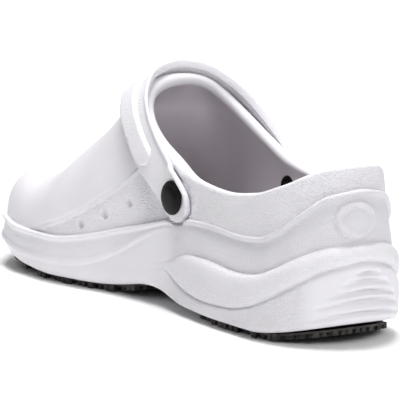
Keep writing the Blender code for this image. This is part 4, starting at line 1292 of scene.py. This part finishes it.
@dataclass
class Rivet:
    """One rivet: a plain domed cap with a concentric ring, and the head inside the wall."""

    path: StrapPath
    side: Side
    cap_radius: float = 0.0085
    cap_height: float = 0.0030
    post_radius: float = 0.0030
    head_radius: float = 0.0058
    head_height: float = 0.0020
    wall: float = 0.0032
    strap: float = 0.0030
    clearance: float = 0.0003
    ring_share: float = 0.80
    ring_depth: float = 0.00035
    ring_width: float = 0.035
    # The cap's dome: where its first ring lies, how far it falls to the edge, and how late
    cap_start: float = 0.01
    cap_fall: float = 0.85
    cap_power: float = 3.4
    # The cap's edge: height of its lower corner over the cap's, and radius of its foot over the cap's
    cap_edge: tuple[float, float] = (0.10, 0.97)
    # The head's rounded edge: radius over the head's, and depth over its height
    head_edge: tuple[tuple[float, float], ...] = ((1.0, 0.45), (0.95, 0.75), (0.82, 1.0))
    cap_samples: int = 26
    steps: int = 96
    sharp_degrees: float = 40.0

    def turned(self, name: str, profile: list[tuple[float, float]], bored: bool) -> bpy.types.Object:
        """A turned piece about the rivet's axis, which runs along Y outwards.

        Args:
            name: the piece's name.
            profile: radius and place along the axis of each ring.
            bored: whether the last ring joins the first, as in a piece with a bore.

        Returns:
            The turned piece.
        """
        place, sign = self.path.rivets[self.side.value], self.side.value
        angles = np.linspace(0.0, 2.0 * math.pi, self.steps, endpoint=False)
        vertices = [(place[0] + r * math.cos(a), place[1] + sign * h, place[2] + r * math.sin(a))
                    for r, h in profile for a in angles]
        last = (len(profile) - 1) * self.steps
        faces = stack_faces(len(profile), self.steps)
        if bored:
            faces += ring_faces(last, 0, self.steps)
        else:
            faces += [tuple(range(self.steps)), tuple(last + k for k in range(self.steps))]
        return mesh_object(name, np.array(vertices), faces, self.sharp_degrees)

    def build_cap(self) -> bpy.types.Object:
        """Build the cap with its post.

        Returns:
            The cap.
        """
        under = 2.0 * self.clearance + self.strap
        r, h = self.cap_radius, self.cap_height
        corner, foot = self.cap_edge
        profile = []
        for share in np.linspace(self.cap_start, 1.0, self.cap_samples):
            groove = self.ring_depth * float(bell(share - self.ring_share, self.ring_width))
            profile.append((share * r, under + h * (1.0 - self.cap_fall * share ** self.cap_power) - groove))
        profile += [(r, under + corner * h), (foot * r, under), (self.post_radius, under),
                    (self.post_radius, -(self.wall + self.clearance + self.head_height))]
        return self.turned("rivet_outer_cap_" + self.side.name.lower(), profile, False)

    def build_head(self) -> bpy.types.Object:
        """Build the ring-shaped head on the inner face of the wall.

        Returns:
            The head.
        """
        bore, face = self.post_radius + self.clearance, -(self.wall + self.clearance)
        edge = [(wide * self.head_radius, face - deep * self.head_height) for wide, deep in self.head_edge]
        profile = [(bore, face), (self.head_radius, face), *edge, (bore, face - self.head_height)]
        return self.turned("rivet_inner_head_" + self.side.name.lower(), profile, True)


@dataclass
class BlockTread:
    """One rubber tread: a thin plate under the moulding with rows of small blocks."""

    form: LastForm
    name: str
    shares: tuple[float, float]
    edge_inset: float = 0.0055
    end_round: float = 0.0150
    end_narrowing: float = 0.75
    gap: float = 0.0004
    plate: float = 0.0010
    plate_inset: float = 0.0014
    plate_inset_share: float = 0.4
    block_drop: float = 0.0022
    block_size: tuple[float, float] = (0.0072, 0.0064)
    block_gap: float = 0.0019
    chamfer: float = 0.00030
    sipe: float = 0.0009
    first_gap: float = 0.0006
    least_width: float = 0.0010
    stations: int = 90
    block_stations: int = 4
    sharp_degrees: float = 30.0

    def limits(self, x: float) -> tuple[float, float]:
        """Lateral and medial limits of the tread across the shoe at a place along X.

        Args:
            x: place along X.

        Returns:
            The least and the greatest Y.
        """
        share = self.form.to_share(x)
        lateral = -float(self.form.half_width(share, -1)) + self.edge_inset
        return lateral, float(self.form.half_width(share, 1)) - self.edge_inset

    def reach(self) -> tuple[float, float]:
        """Places along X where the tread starts and ends."""
        start, end = (float(self.form.to_x(share)) for share in self.shares)
        return start, end

    def outline_limits(self, x: float) -> tuple[float, float]:
        """The tread's limits across, rounded off at both of its ends.

        Args:
            x: place along X.

        Returns:
            The least and the greatest Y.
        """
        low, high = self.limits(x)
        start, end = self.reach()
        from_end = np.clip(min(x - start, end - x) / self.end_round, 0.0, 1.0)
        keep = math.sqrt(1.0 - self.end_narrowing * (1.0 - from_end) ** 2)
        middle, half = 0.5 * (low + high), 0.5 * max(high - low, 0.0) * keep
        return middle - half, middle + half

    def plate_mesh(self, vertices: list[Triple], faces: Faces) -> None:
        """Add the plate's vertices and faces.

        Args:
            vertices: vertices so far, added to.
            faces: faces so far, added to.
        """
        start, end = self.reach()
        base = len(vertices)
        for x in np.linspace(start, end, self.stations):
            low, high = self.outline_limits(x)
            top = float(self.form.underside(x)) - self.gap
            inset = min(self.plate_inset, self.plate_inset_share * (high - low))
            for y in (low + inset, high - inset):
                vertices += [(x, y, top), (x, y, top - self.plate)]
        for k in range(self.stations - 1):
            a, b = base + 4 * k, base + 4 * (k + 1)
            faces += [(a, b, b + 2, a + 2), (a + 1, a + 3, b + 3, b + 1), (a, a + 1, b + 1, b),
                      (a + 2, b + 2, b + 3, a + 3)]
        last = base + 4 * (self.stations - 1)
        faces += [(base, base + 2, base + 3, base + 1), (last, last + 1, last + 3, last + 2)]

    def block_mesh(self, x_reach: tuple[float, float], y_reach: tuple[float, float], vertices: list[Triple],
                   faces: Faces) -> None:
        """Add one block, cut to the tread's outline where it crosses it.

        Args:
            x_reach: where the block starts and ends along X.
            y_reach: where it starts and ends along Y.
            vertices: vertices so far, added to.
            faces: faces so far, added to.
        """
        xs = np.linspace(*x_reach, self.block_stations)
        rails = []
        for x in xs:
            low, high = self.outline_limits(x)
            y0, y1 = max(y_reach[0], low), min(y_reach[1], high)
            if y1 - y0 < self.least_width:
                return
            rails.append((x, y0, y1))
        base = len(vertices)
        c = self.chamfer
        for inset, drop in ((0.0, -self.plate), (0.0, self.block_drop - c), (c, self.block_drop)):
            for n, (x, y0, y1) in enumerate(rails):
                slide = inset if n == 0 else -inset if n == len(rails) - 1 else 0.0
                level = float(self.form.underside(x)) - self.gap - self.plate - drop
                vertices += [(x + slide, y0 + inset, level), (x + slide, y1 - inset, level)]
        count = 2 * len(rails)
        ring = [2 * k for k in range(len(rails))] + [2 * k + 1 for k in range(len(rails) - 1, -1, -1)]
        for layer in range(2):
            a, b = base + layer * count, base + (layer + 1) * count
            faces += [(a + ring[k], a + ring[(k + 1) % count], b + ring[(k + 1) % count], b + ring[k])
                      for k in range(count)]
        for layer in (0, 2):
            start = base + layer * count
            faces += [(start + 2 * k, start + 2 * k + 1, start + 2 * k + 3, start + 2 * k + 2)
                      for k in range(len(rails) - 1)]

    def build(self) -> bpy.types.Object:
        """Build the plate and its blocks as one piece.

        Returns:
            The tread.
        """
        vertices, faces = [], []
        self.plate_mesh(vertices, faces)
        start, end = self.reach()
        pitch_x, pitch_y = (size + self.block_gap for size in self.block_size)
        size_x, size_y = (0.5 * (size - self.sipe) for size in self.block_size)
        across = int(0.5 * self.form.ball_width / pitch_y) + 1
        for n in range(int((end - start) / pitch_x)):
            x = start + self.first_gap + n * pitch_x
            stagger = 0.5 * pitch_y * (n % 2)
            for k in range(-across, across + 1):
                y = k * pitch_y + stagger
                for row, rank in ((0, 0), (0, 1), (1, 0), (1, 1)):
                    x_from, y_from = x + row * (size_x + self.sipe), y + rank * (size_y + self.sipe)
                    self.block_mesh((x_from, x_from + size_x), (y_from, y_from + size_y), vertices, faces)
        return mesh_object(self.name, np.array(vertices), faces, self.sharp_degrees)


@dataclass
class Footbed:
    """The loose footbed: a soft cloth-topped sheet of foam that lies in the moulding."""

    upper: MouldedUpper
    thickness: float = 0.0040
    clearance: float = 0.0003
    cup: float = 0.0010
    # How far in, as a share of the way to the middle, the cup's outside, the thin edge and the cup reach
    brim_reach: float = 0.06
    edge_reach: float = 0.10
    cup_reach: float = 0.45
    edge_thinning: float = 0.45
    centre_share: float = 0.96
    rows: int = 14
    sharp_degrees: float = 60.0

    def build(self) -> bpy.types.Object:
        """Build the footbed as one closed mesh, dished at its edge.

        Returns:
            The footbed.
        """
        form, foot = self.upper.form, self.upper.foot
        plan = self.upper.floor_ring[:, :2] - self.upper.direction * self.clearance
        grid = [np.column_stack((plan, form.floor_height(plan[:, 0]) + self.clearance))]
        for share in np.linspace(0.0, self.centre_share, self.rows):
            inward = plan + share * (foot - plan)
            floor = form.floor_height(inward[:, 0])
            edge = self.thickness * (1.0 - self.edge_thinning * (1.0 - smooth(share / self.edge_reach)))
            dish = self.cup * (1.0 - smooth(share / self.cup_reach)) * smooth(share / self.brim_reach)
            grid.append(np.column_stack((inward, floor + self.clearance + edge + dish)))
        stack = np.array(grid)
        rows, count = stack.shape[:2]
        faces = stack_faces(rows, count) + across_faces(0, count) + across_faces((rows - 1) * count, count)
        return mesh_object("footbed_cloth_foam", stack.reshape(-1, 3), faces, self.sharp_degrees)


def set_inputs(tree: bpy.types.NodeTree, node: bpy.types.Node, inputs: dict) -> None:
    """Set or link the inputs of a node.

    Args:
        tree: the material's node tree.
        node: the node.
        inputs: input name or number to a value, or to an output socket to link.
    """
    for key, value in inputs.items():
        if isinstance(value, bpy.types.NodeSocket):
            tree.links.new(value, node.inputs[key])
        else:
            node.inputs[key].default_value = value


def add_node(tree: bpy.types.NodeTree, kind: str, inputs: dict, **settings: object) -> bpy.types.Node:
    """Add a shader node with its settings and its inputs.

    Args:
        tree: the material's node tree.
        kind: the node's type.
        inputs: input name or number to a value, or to an output socket to link.
        settings: the node's own properties.

    Returns:
        The new node.
    """
    node = tree.nodes.new(kind)
    for name, value in settings.items():
        setattr(node, name, value)
    set_inputs(tree, node, inputs)
    return node


def new_material(name: str) -> tuple[bpy.types.Material, bpy.types.NodeTree, bpy.types.Node]:
    """A new material.

    Args:
        name: the real stuff and how it was made.

    Returns:
        The material, its node tree and its Principled shader.
    """
    made = bpy.data.materials.new(name)
    made.use_nodes = True
    return made, made.node_tree, made.node_tree.nodes["Principled BSDF"]


class Crossing(Enum):
    """How two crossed sets of bands meet, by the operation that joins them."""

    THREADS = "MAXIMUM"
    LOOPS = "MULTIPLY"


def crossed_bands(tree: bpy.types.NodeTree, place: bpy.types.NodeSocket, size_mm: float, wander: float,
                  crossing: Crossing) -> bpy.types.NodeSocket:
    """Two sets of soft bands across each other, as threads and loops lie.

    Args:
        tree: the material's node tree.
        place: socket with the place that the pattern lies on.
        size_mm: distance from one band to the next.
        wander: how far the bands stray from straight.
        crossing: how the two sets meet.

    Returns:
        Socket with the pattern, from 0 to 1.
    """
    inputs = {"Vector": place, "Scale": 1.0 / (size_mm * MM * WAVE_BANDS), "Distortion": wander,
              "Detail": 1.0}
    waves = [add_node(tree, "ShaderNodeTexWave", inputs, wave_type="BANDS", bands_direction=direction)
             for direction in ("X", "Y")]
    both = {0: waves[0].outputs["Fac"], 1: waves[1].outputs["Fac"]}
    return add_node(tree, "ShaderNodeMath", both, operation=crossing.value).outputs[0]


@dataclass(frozen=True)
class FoamSkin:
    """Moulded EVA foam: closed cells give a soft matte skin that takes the mould's grain and linen."""

    outside: str = "#E6E4E9"
    # Painted light: the inside is a lighter copy of the same white foam, brightening the shaded interior
    inside: str = "#F2ECF0"
    # Least and most roughness
    roughness: tuple[float, float] = (0.46, 0.60)
    ior: float = 1.48
    specular: float = 0.42
    grain_mm: float = 0.85
    grain_height_mm: float = 0.70
    # The pebbles' flattening, their cut-off and how much larger their waver is than they are
    grain_stretch: Triple = (0.7, 0.7, 1.5)
    grain_level: float = 0.4
    waver_size: float = 2.5
    thread_mm: float = 1.1
    thread_height_mm: float = 0.32
    thread_turn_deg: float = 45.0
    thread_wander: float = 0.6
    thread_level: float = 0.75
    fine_mm: float = 0.45
    fine_height_mm: float = 0.05
    # 38 faint patches to the metre, and how far they darken the skin
    mottle_mm: float = 1000.0 / 38.0
    mottle_span: tuple[float, float] = (0.3, 0.7)
    mottle_shade: float = 0.965

    def grain_height(self, tree: bpy.types.NodeTree, place: bpy.types.NodeSocket) -> bpy.types.NodeSocket:
        """Leather grain of the mould: pebbles with thin valleys, broken up by noise.

        Args:
            tree: the material's node tree.
            place: socket with the place on the piece.

        Returns:
            Socket with the grain's height in metres.
        """
        size = self.grain_mm * MM
        where = add_node(tree, "ShaderNodeAttribute", {}, attribute_name="leather_grain").outputs["Fac"]
        drawn = add_node(tree, "ShaderNodeMapping", {"Vector": place, "Scale": self.grain_stretch}).outputs[0]
        waver = add_node(tree, "ShaderNodeTexNoise",
                         {"Vector": drawn, "Scale": 1.0 / (self.waver_size * size), "Detail": 2.0})
        shifted = add_node(tree, "ShaderNodeVectorMath", {0: waver.outputs["Color"], 1: (size,) * 3},
                           operation="MULTIPLY")
        warped = add_node(tree, "ShaderNodeVectorMath", {0: drawn, 1: shifted.outputs[0]}, operation="ADD")
        pebbles = add_node(tree, "ShaderNodeTexVoronoi", {"Vector": warped.outputs[0], "Scale": 1.0 / size},
                           feature="SMOOTH_F1")
        raised = add_node(tree, "ShaderNodeMath", {0: self.grain_level, 1: pebbles.outputs["Distance"]},
                          operation="SUBTRACT")
        grain = add_node(tree, "ShaderNodeMath", {0: raised.outputs[0], 1: where}, operation="MULTIPLY")
        return add_node(tree, "ShaderNodeMath", {0: grain.outputs[0], 1: self.grain_height_mm * MM},
                        operation="MULTIPLY").outputs[0]

    def linen_height(self, tree: bpy.types.NodeTree) -> bpy.types.NodeSocket:
        """Linen of the mould: two crossed sets of threads, drawn a little coarser than real to show.

        Args:
            tree: the material's node tree.

        Returns:
            Socket with the linen's height in metres.
        """
        where = add_node(tree, "ShaderNodeAttribute", {}, attribute_name="linen_weave").outputs["Fac"]
        skin = add_node(tree, "ShaderNodeAttribute", {}, attribute_name="skin_place").outputs["Vector"]
        turn = (0.0, 0.0, math.radians(self.thread_turn_deg))
        turned = add_node(tree, "ShaderNodeMapping", {"Vector": skin, "Rotation": turn}).outputs[0]
        cloth = crossed_bands(tree, turned, self.thread_mm, self.thread_wander, Crossing.THREADS)
        level = add_node(tree, "ShaderNodeMath", {0: cloth, 1: self.thread_level}, operation="SUBTRACT")
        linen = add_node(tree, "ShaderNodeMath", {0: level.outputs[0], 1: where}, operation="MULTIPLY")
        return add_node(tree, "ShaderNodeMath", {0: linen.outputs[0], 1: self.thread_height_mm * MM},
                        operation="MULTIPLY").outputs[0]

    def material(self) -> bpy.types.Material:
        """Make the finish.

        Returns:
            The material.
        """
        made, tree, shader = new_material("EVA foam, moulded white skin")
        place = add_node(tree, "ShaderNodeTexCoord", {}).outputs["Object"]

        # The relief: grain, linen and the fine tooth that the whole skin has
        grain, linen = self.grain_height(tree, place), self.linen_height(tree)
        tooth = add_node(tree, "ShaderNodeTexNoise", {"Vector": place, "Scale": 1.0 / (self.fine_mm * MM),
                                                      "Detail": 3.0, "Roughness": 0.6}).outputs["Fac"]
        fine = add_node(tree, "ShaderNodeMath", {0: tooth, 1: self.fine_height_mm * MM}, operation="MULTIPLY")
        heights = add_node(tree, "ShaderNodeMath", {0: grain, 1: linen}, operation="ADD")
        total = add_node(tree, "ShaderNodeMath", {0: heights.outputs[0], 1: fine.outputs[0]}, operation="ADD")
        bump = add_node(tree, "ShaderNodeBump",
                        {"Height": total.outputs[0], "Distance": 1.0, "Strength": 1.0})

        # Faint mottling, and painted light inside: a lighter copy of the foam's colour brightens the shaded
        # inner wall and floor
        mottle = add_node(tree, "ShaderNodeTexNoise", {"Vector": place, "Scale": 1.0 / (self.mottle_mm * MM),
                                                       "Detail": 4.0})
        low, high = self.mottle_span
        shade = add_node(tree, "ShaderNodeMapRange",
                         {"Value": mottle.outputs["Fac"], "From Min": low, "From Max": high,
                          "To Min": self.mottle_shade, "To Max": 1.0})
        inside_light_on = add_node(tree, "ShaderNodeAttribute", {}, attribute_name="inside").outputs["Fac"]
        colour = add_node(tree, "ShaderNodeMix", {}, data_type="RGBA")
        set_inputs(tree, colour, {"Factor": inside_light_on, MIX_FROM: linear_colour(self.outside),
                                  MIX_TO: linear_colour(self.inside)})
        tinted = add_node(tree, "ShaderNodeVectorMath",
                          {0: colour.outputs[MIX_RESULT], "Scale": shade.outputs[0]}, operation="SCALE")
        rough = add_node(tree, "ShaderNodeMapRange", {"Value": tooth, "To Min": self.roughness[0],
                                                      "To Max": self.roughness[1]})
        set_inputs(tree, shader, {"Base Color": tinted.outputs[0], "Roughness": rough.outputs[0],
                                  "Normal": bump.outputs["Normal"], "IOR": self.ior,
                                  "Specular IOR Level": self.specular})
        return made


@dataclass(frozen=True)
class TreadRubber:
    """Compression-moulded rubber: dense and black, with a dull bloom and a little floor dust."""

    base: str = "#272423"
    dust: str = "#4E4845"
    roughness: tuple[float, float] = (0.54, 0.74)
    ior: float = 1.52
    crumb_mm: float = 0.5
    crumb_height_mm: float = 0.05
    # 120 patches of dust to the metre, and the noise levels between which they fade in
    dust_mm: float = 1000.0 / 120.0
    dust_span: tuple[float, float] = (0.45, 0.75)

    def material(self) -> bpy.types.Material:
        """Make the finish.

        Returns:
            The material.
        """
        made, tree, shader = new_material("nitrile rubber, moulded black")
        place = add_node(tree, "ShaderNodeTexCoord", {}).outputs["Object"]
        crumb = add_node(tree, "ShaderNodeTexNoise", {"Vector": place, "Scale": 1.0 / (self.crumb_mm * MM),
                                                      "Detail": 3.0}).outputs["Fac"]
        cloud = add_node(tree, "ShaderNodeTexNoise", {"Vector": place, "Scale": 1.0 / (self.dust_mm * MM),
                                                      "Detail": 3.0}).outputs["Fac"]
        low, high = self.dust_span
        patch = add_node(tree, "ShaderNodeMapRange", {"Value": cloud, "From Min": low, "From Max": high})
        colour = add_node(tree, "ShaderNodeMix", {}, data_type="RGBA")
        set_inputs(tree, colour, {"Factor": patch.outputs[0], MIX_FROM: linear_colour(self.base),
                                  MIX_TO: linear_colour(self.dust)})
        rough = add_node(tree, "ShaderNodeMapRange", {"Value": crumb, "To Min": self.roughness[0],
                                                      "To Max": self.roughness[1]})
        bump = add_node(tree, "ShaderNodeBump", {"Height": crumb, "Distance": self.crumb_height_mm * MM})
        set_inputs(tree, shader, {"Base Color": colour.outputs[MIX_RESULT], "Roughness": rough.outputs[0],
                                  "Normal": bump.outputs["Normal"], "IOR": self.ior})
        return made


@dataclass(frozen=True)
class RivetPlastic:
    """Injection-moulded polyamide: black, with the satin of a finely eroded mould."""

    base: str = "#0B0A0B"
    roughness: tuple[float, float] = (0.39, 0.53)
    ior: float = 1.53
    specular: float = 0.14
    spark_mm: float = 0.35
    spark_height_mm: float = 0.02

    def material(self) -> bpy.types.Material:
        """Make the finish.

        Returns:
            The material.
        """
        made, tree, shader = new_material("polyamide, injection-moulded black")
        place = add_node(tree, "ShaderNodeTexCoord", {}).outputs["Object"]
        spark = add_node(tree, "ShaderNodeTexNoise", {"Vector": place, "Scale": 1.0 / (self.spark_mm * MM),
                                                      "Detail": 2.0}).outputs["Fac"]
        rough = add_node(tree, "ShaderNodeMapRange", {"Value": spark, "To Min": self.roughness[0],
                                                      "To Max": self.roughness[1]})
        bump = add_node(tree, "ShaderNodeBump", {"Height": spark, "Distance": self.spark_height_mm * MM})
        set_inputs(tree, shader, {"Base Color": linear_colour(self.base), "Roughness": rough.outputs[0],
                                  "Normal": bump.outputs["Normal"], "IOR": self.ior,
                                  "Specular IOR Level": self.specular})
        return made


@dataclass(frozen=True)
class FootbedCloth:
    """Knitted polyester bonded to foam: short loops in rows, grey and without gloss."""

    light: str = "#A9A6AB"
    dark: str = "#8B888E"
    roughness: float = 0.9
    sheen: float = 0.25
    loop_mm: float = 0.9
    loop_height_mm: float = 0.12
    loop_wander: float = 1.2

    def material(self) -> bpy.types.Material:
        """Make the finish.

        Returns:
            The material.
        """
        made, tree, shader = new_material("polyester knit, bonded grey")
        place = add_node(tree, "ShaderNodeTexCoord", {}).outputs["Object"]
        loops = crossed_bands(tree, place, self.loop_mm, self.loop_wander, Crossing.LOOPS)
        colour = add_node(tree, "ShaderNodeMix", {}, data_type="RGBA")
        set_inputs(tree, colour, {"Factor": loops, MIX_FROM: linear_colour(self.dark),
                                  MIX_TO: linear_colour(self.light)})
        bump = add_node(tree, "ShaderNodeBump", {"Height": loops, "Distance": self.loop_height_mm * MM})
        set_inputs(tree, shader, {"Base Color": colour.outputs[MIX_RESULT], "Normal": bump.outputs["Normal"],
                                  "Roughness": self.roughness, "Sheen Weight": self.sheen})
        return made


@dataclass(frozen=True)
class StudioBoard:
    """Matt coated board: nearly white, with a tooth too fine to throw a gloss."""

    base: str = "#F6F6F6"
    roughness: float = 0.9
    # 900 grains to the metre
    grain_mm: float = 1000.0 / 900.0
    grain_height_mm: float = 0.02

    def material(self) -> bpy.types.Material:
        """Make the finish.

        Returns:
            The material.
        """
        made, tree, shader = new_material("matt white studio board")
        grain = add_node(tree, "ShaderNodeTexNoise", {"Scale": 1.0 / (self.grain_mm * MM), "Detail": 2.0})
        bump = add_node(tree, "ShaderNodeBump", {"Height": grain.outputs["Fac"],
                                                 "Distance": self.grain_height_mm * MM})
        set_inputs(tree, shader, {"Normal": bump.outputs["Normal"], "Base Color": linear_colour(self.base),
                                  "Roughness": self.roughness})
        return made


@dataclass(frozen=True)
class Softbox:
    """One soft square light: where it stands, how wide and strong it is, and where it looks."""

    name: str
    place: Triple
    size: float
    power: float
    aim: Triple = (0.0, 0.0, 0.05)

    def build(self) -> None:
        """Make the light."""
        data = bpy.data.lights.new(self.name, "AREA")
        data.size = self.size
        data.energy = self.power
        item = bpy.data.objects.new(self.name, data)
        bpy.context.scene.collection.objects.link(item)
        item.location = self.place
        item.rotation_euler = (Vector(self.aim) - Vector(self.place)).to_track_quat("-Z", "Y").to_euler()


@dataclass
class Studio:
    """Pale floor, soft lights and the camera at the photograph's angle."""

    target: Triple = (-0.020, 0.0, 0.057)
    turn_deg: float = 35.76
    rise_deg: float = 10.22
    roll_deg: float = 1.74
    distance: float = 1.650
    pixels_per_mm: float = 2.01
    frame_pixels: float = 400.0
    target_pixel: tuple[float, float] = (220.1, 189.0)
    sensor_mm: float = 36.0
    clip: tuple[float, float] = (0.1, 30.0)
    floor_size: float = 6.0
    sky_strength: float = 0.22
    lights: tuple[Softbox, ...] = (
        Softbox("overhead_softbox", (0.05, 0.05, 1.50), 0.70, 22.5),
        Softbox("heel_side_softbox", (-1.20, 0.18, 0.90), 0.45, 7.5),
        Softbox("background_softbox", (1.30, -0.95, 1.50), 1.20, 20.0, (1.30, -0.95, 0.0)),
    )

    def camera(self, shift: np.ndarray) -> None:
        """Make the camera, aimed so that the target falls on its own pixel without lens shift.

        Args:
            shift: how far the frame's origin lies from the form's.
        """
        turn, rise, roll = (math.radians(a) for a in (self.turn_deg, self.rise_deg, self.roll_deg))
        back = Vector((-math.cos(turn) * math.cos(rise), math.sin(turn) * math.cos(rise), math.sin(rise)))
        level = (-back).cross(Vector((0.0, 0.0, 1.0))).normalized()
        upright = level.cross(-back)
        right = math.cos(roll) * level + math.sin(roll) * upright
        up = -math.sin(roll) * level + math.cos(roll) * upright
        half = 0.5 * self.frame_pixels
        aside = (half - self.target_pixel[0]) / self.pixels_per_mm * MM
        lift = (self.target_pixel[1] - half) / self.pixels_per_mm * MM
        centre = Vector(self.target) + Vector((shift[0], shift[1], 0.0)) + aside * right + lift * up
        data = bpy.data.cameras.new("photo_camera")
        data.sensor_width = self.sensor_mm
        data.lens = self.sensor_mm * self.pixels_per_mm * self.distance / MM / self.frame_pixels
        data.clip_start, data.clip_end = self.clip
        item = bpy.data.objects.new("photo_camera", data)
        bpy.context.scene.collection.objects.link(item)
        place = centre + self.distance * back
        item.matrix_world = Matrix(((right.x, up.x, back.x, place.x), (right.y, up.y, back.y, place.y),
                                    (right.z, up.z, back.z, place.z), (0.0, 0.0, 0.0, 1.0)))
        bpy.context.scene.camera = item

    def build(self) -> None:
        """Make the floor, the sky and the lights."""
        bpy.context.scene.view_settings.view_transform = "Standard"
        half = 0.5 * self.floor_size
        corners = np.array([(-half, -half, 0.0), (half, -half, 0.0), (half, half, 0.0), (-half, half, 0.0)])
        floor = mesh_object("studio_floor", corners, [(0, 1, 2, 3)])
        floor.data.materials.append(StudioBoard().material())
        world = bpy.data.worlds.new("studio_sky")
        bpy.context.scene.world = world
        world.use_nodes = True
        sky = world.node_tree.nodes["Background"]
        sky.inputs["Color"].default_value = (1.0, 1.0, 1.0, 1.0)
        sky.inputs["Strength"].default_value = self.sky_strength
        for light in self.lights:
            light.build()


def settle(item: bpy.types.Object, shift: np.ndarray, finish: bpy.types.Material,
           node: str) -> None:
    """Put a piece in the frame: move it, dress it, ride the shoe's body and stand for its CAD node.

    Args:
        item: the piece, in the form's own coordinates.
        shift: how far the frame's origin lies from the form's.
        finish: the piece's material.
        node: the CAD node that the piece stands for.
    """
    item.data.transform(Matrix.Translation(Vector((shift[0], shift[1], 0.0))))
    item.data.materials.append(finish)
    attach(item, "root")
    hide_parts(node)
    LOG.info("%s stands for %s: %d faces", item.name, node, len(item.data.polygons))


def main() -> None:
    """Build every piece in order, dress it and set up the studio."""
    logging.basicConfig(level=logging.INFO, format="%(name)s: %(message)s")
    form = LastForm()
    path = StrapPath(form)
    moulding = MouldedUpper(form, path)
    foam, rubber = FoamSkin().material(), TreadRubber().material()
    plastic, cloth = RivetPlastic().material(), FootbedCloth().material()

    upper = moulding.build()
    corners = np.array([vertex.co for vertex in upper.data.vertices])
    low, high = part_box("moulded_upper")
    wanted = 0.5 * (np.array(low) + np.array(high))
    shift = wanted - 0.5 * (corners.min(axis=0) + corners.max(axis=0))
    settle(upper, shift, foam, "moulded_upper")
    settle(SwingStrap(path).build(), shift, foam, "strap")
    settle(Footbed(moulding).build(), shift, cloth, "insole")
    settle(BlockTread(form, "heel_block_tread", HEEL_TREAD).build(), shift, rubber, "heel_tread")
    settle(BlockTread(form, "forefoot_block_tread", FOREFOOT_TREAD).build(), shift, rubber,
           "forefoot_tread")
    for side in Side:
        rivet = Rivet(path, side)
        word = side.name.lower()
        settle(rivet.build_cap(), shift, plastic, "rivet_cap_" + word)
        settle(rivet.build_head(), shift, plastic, "rivet_head_" + word)

    studio = Studio()
    studio.build()
    studio.camera(shift)
    bpy.context.view_layer.update()


if __name__ == "__main__":
    main()
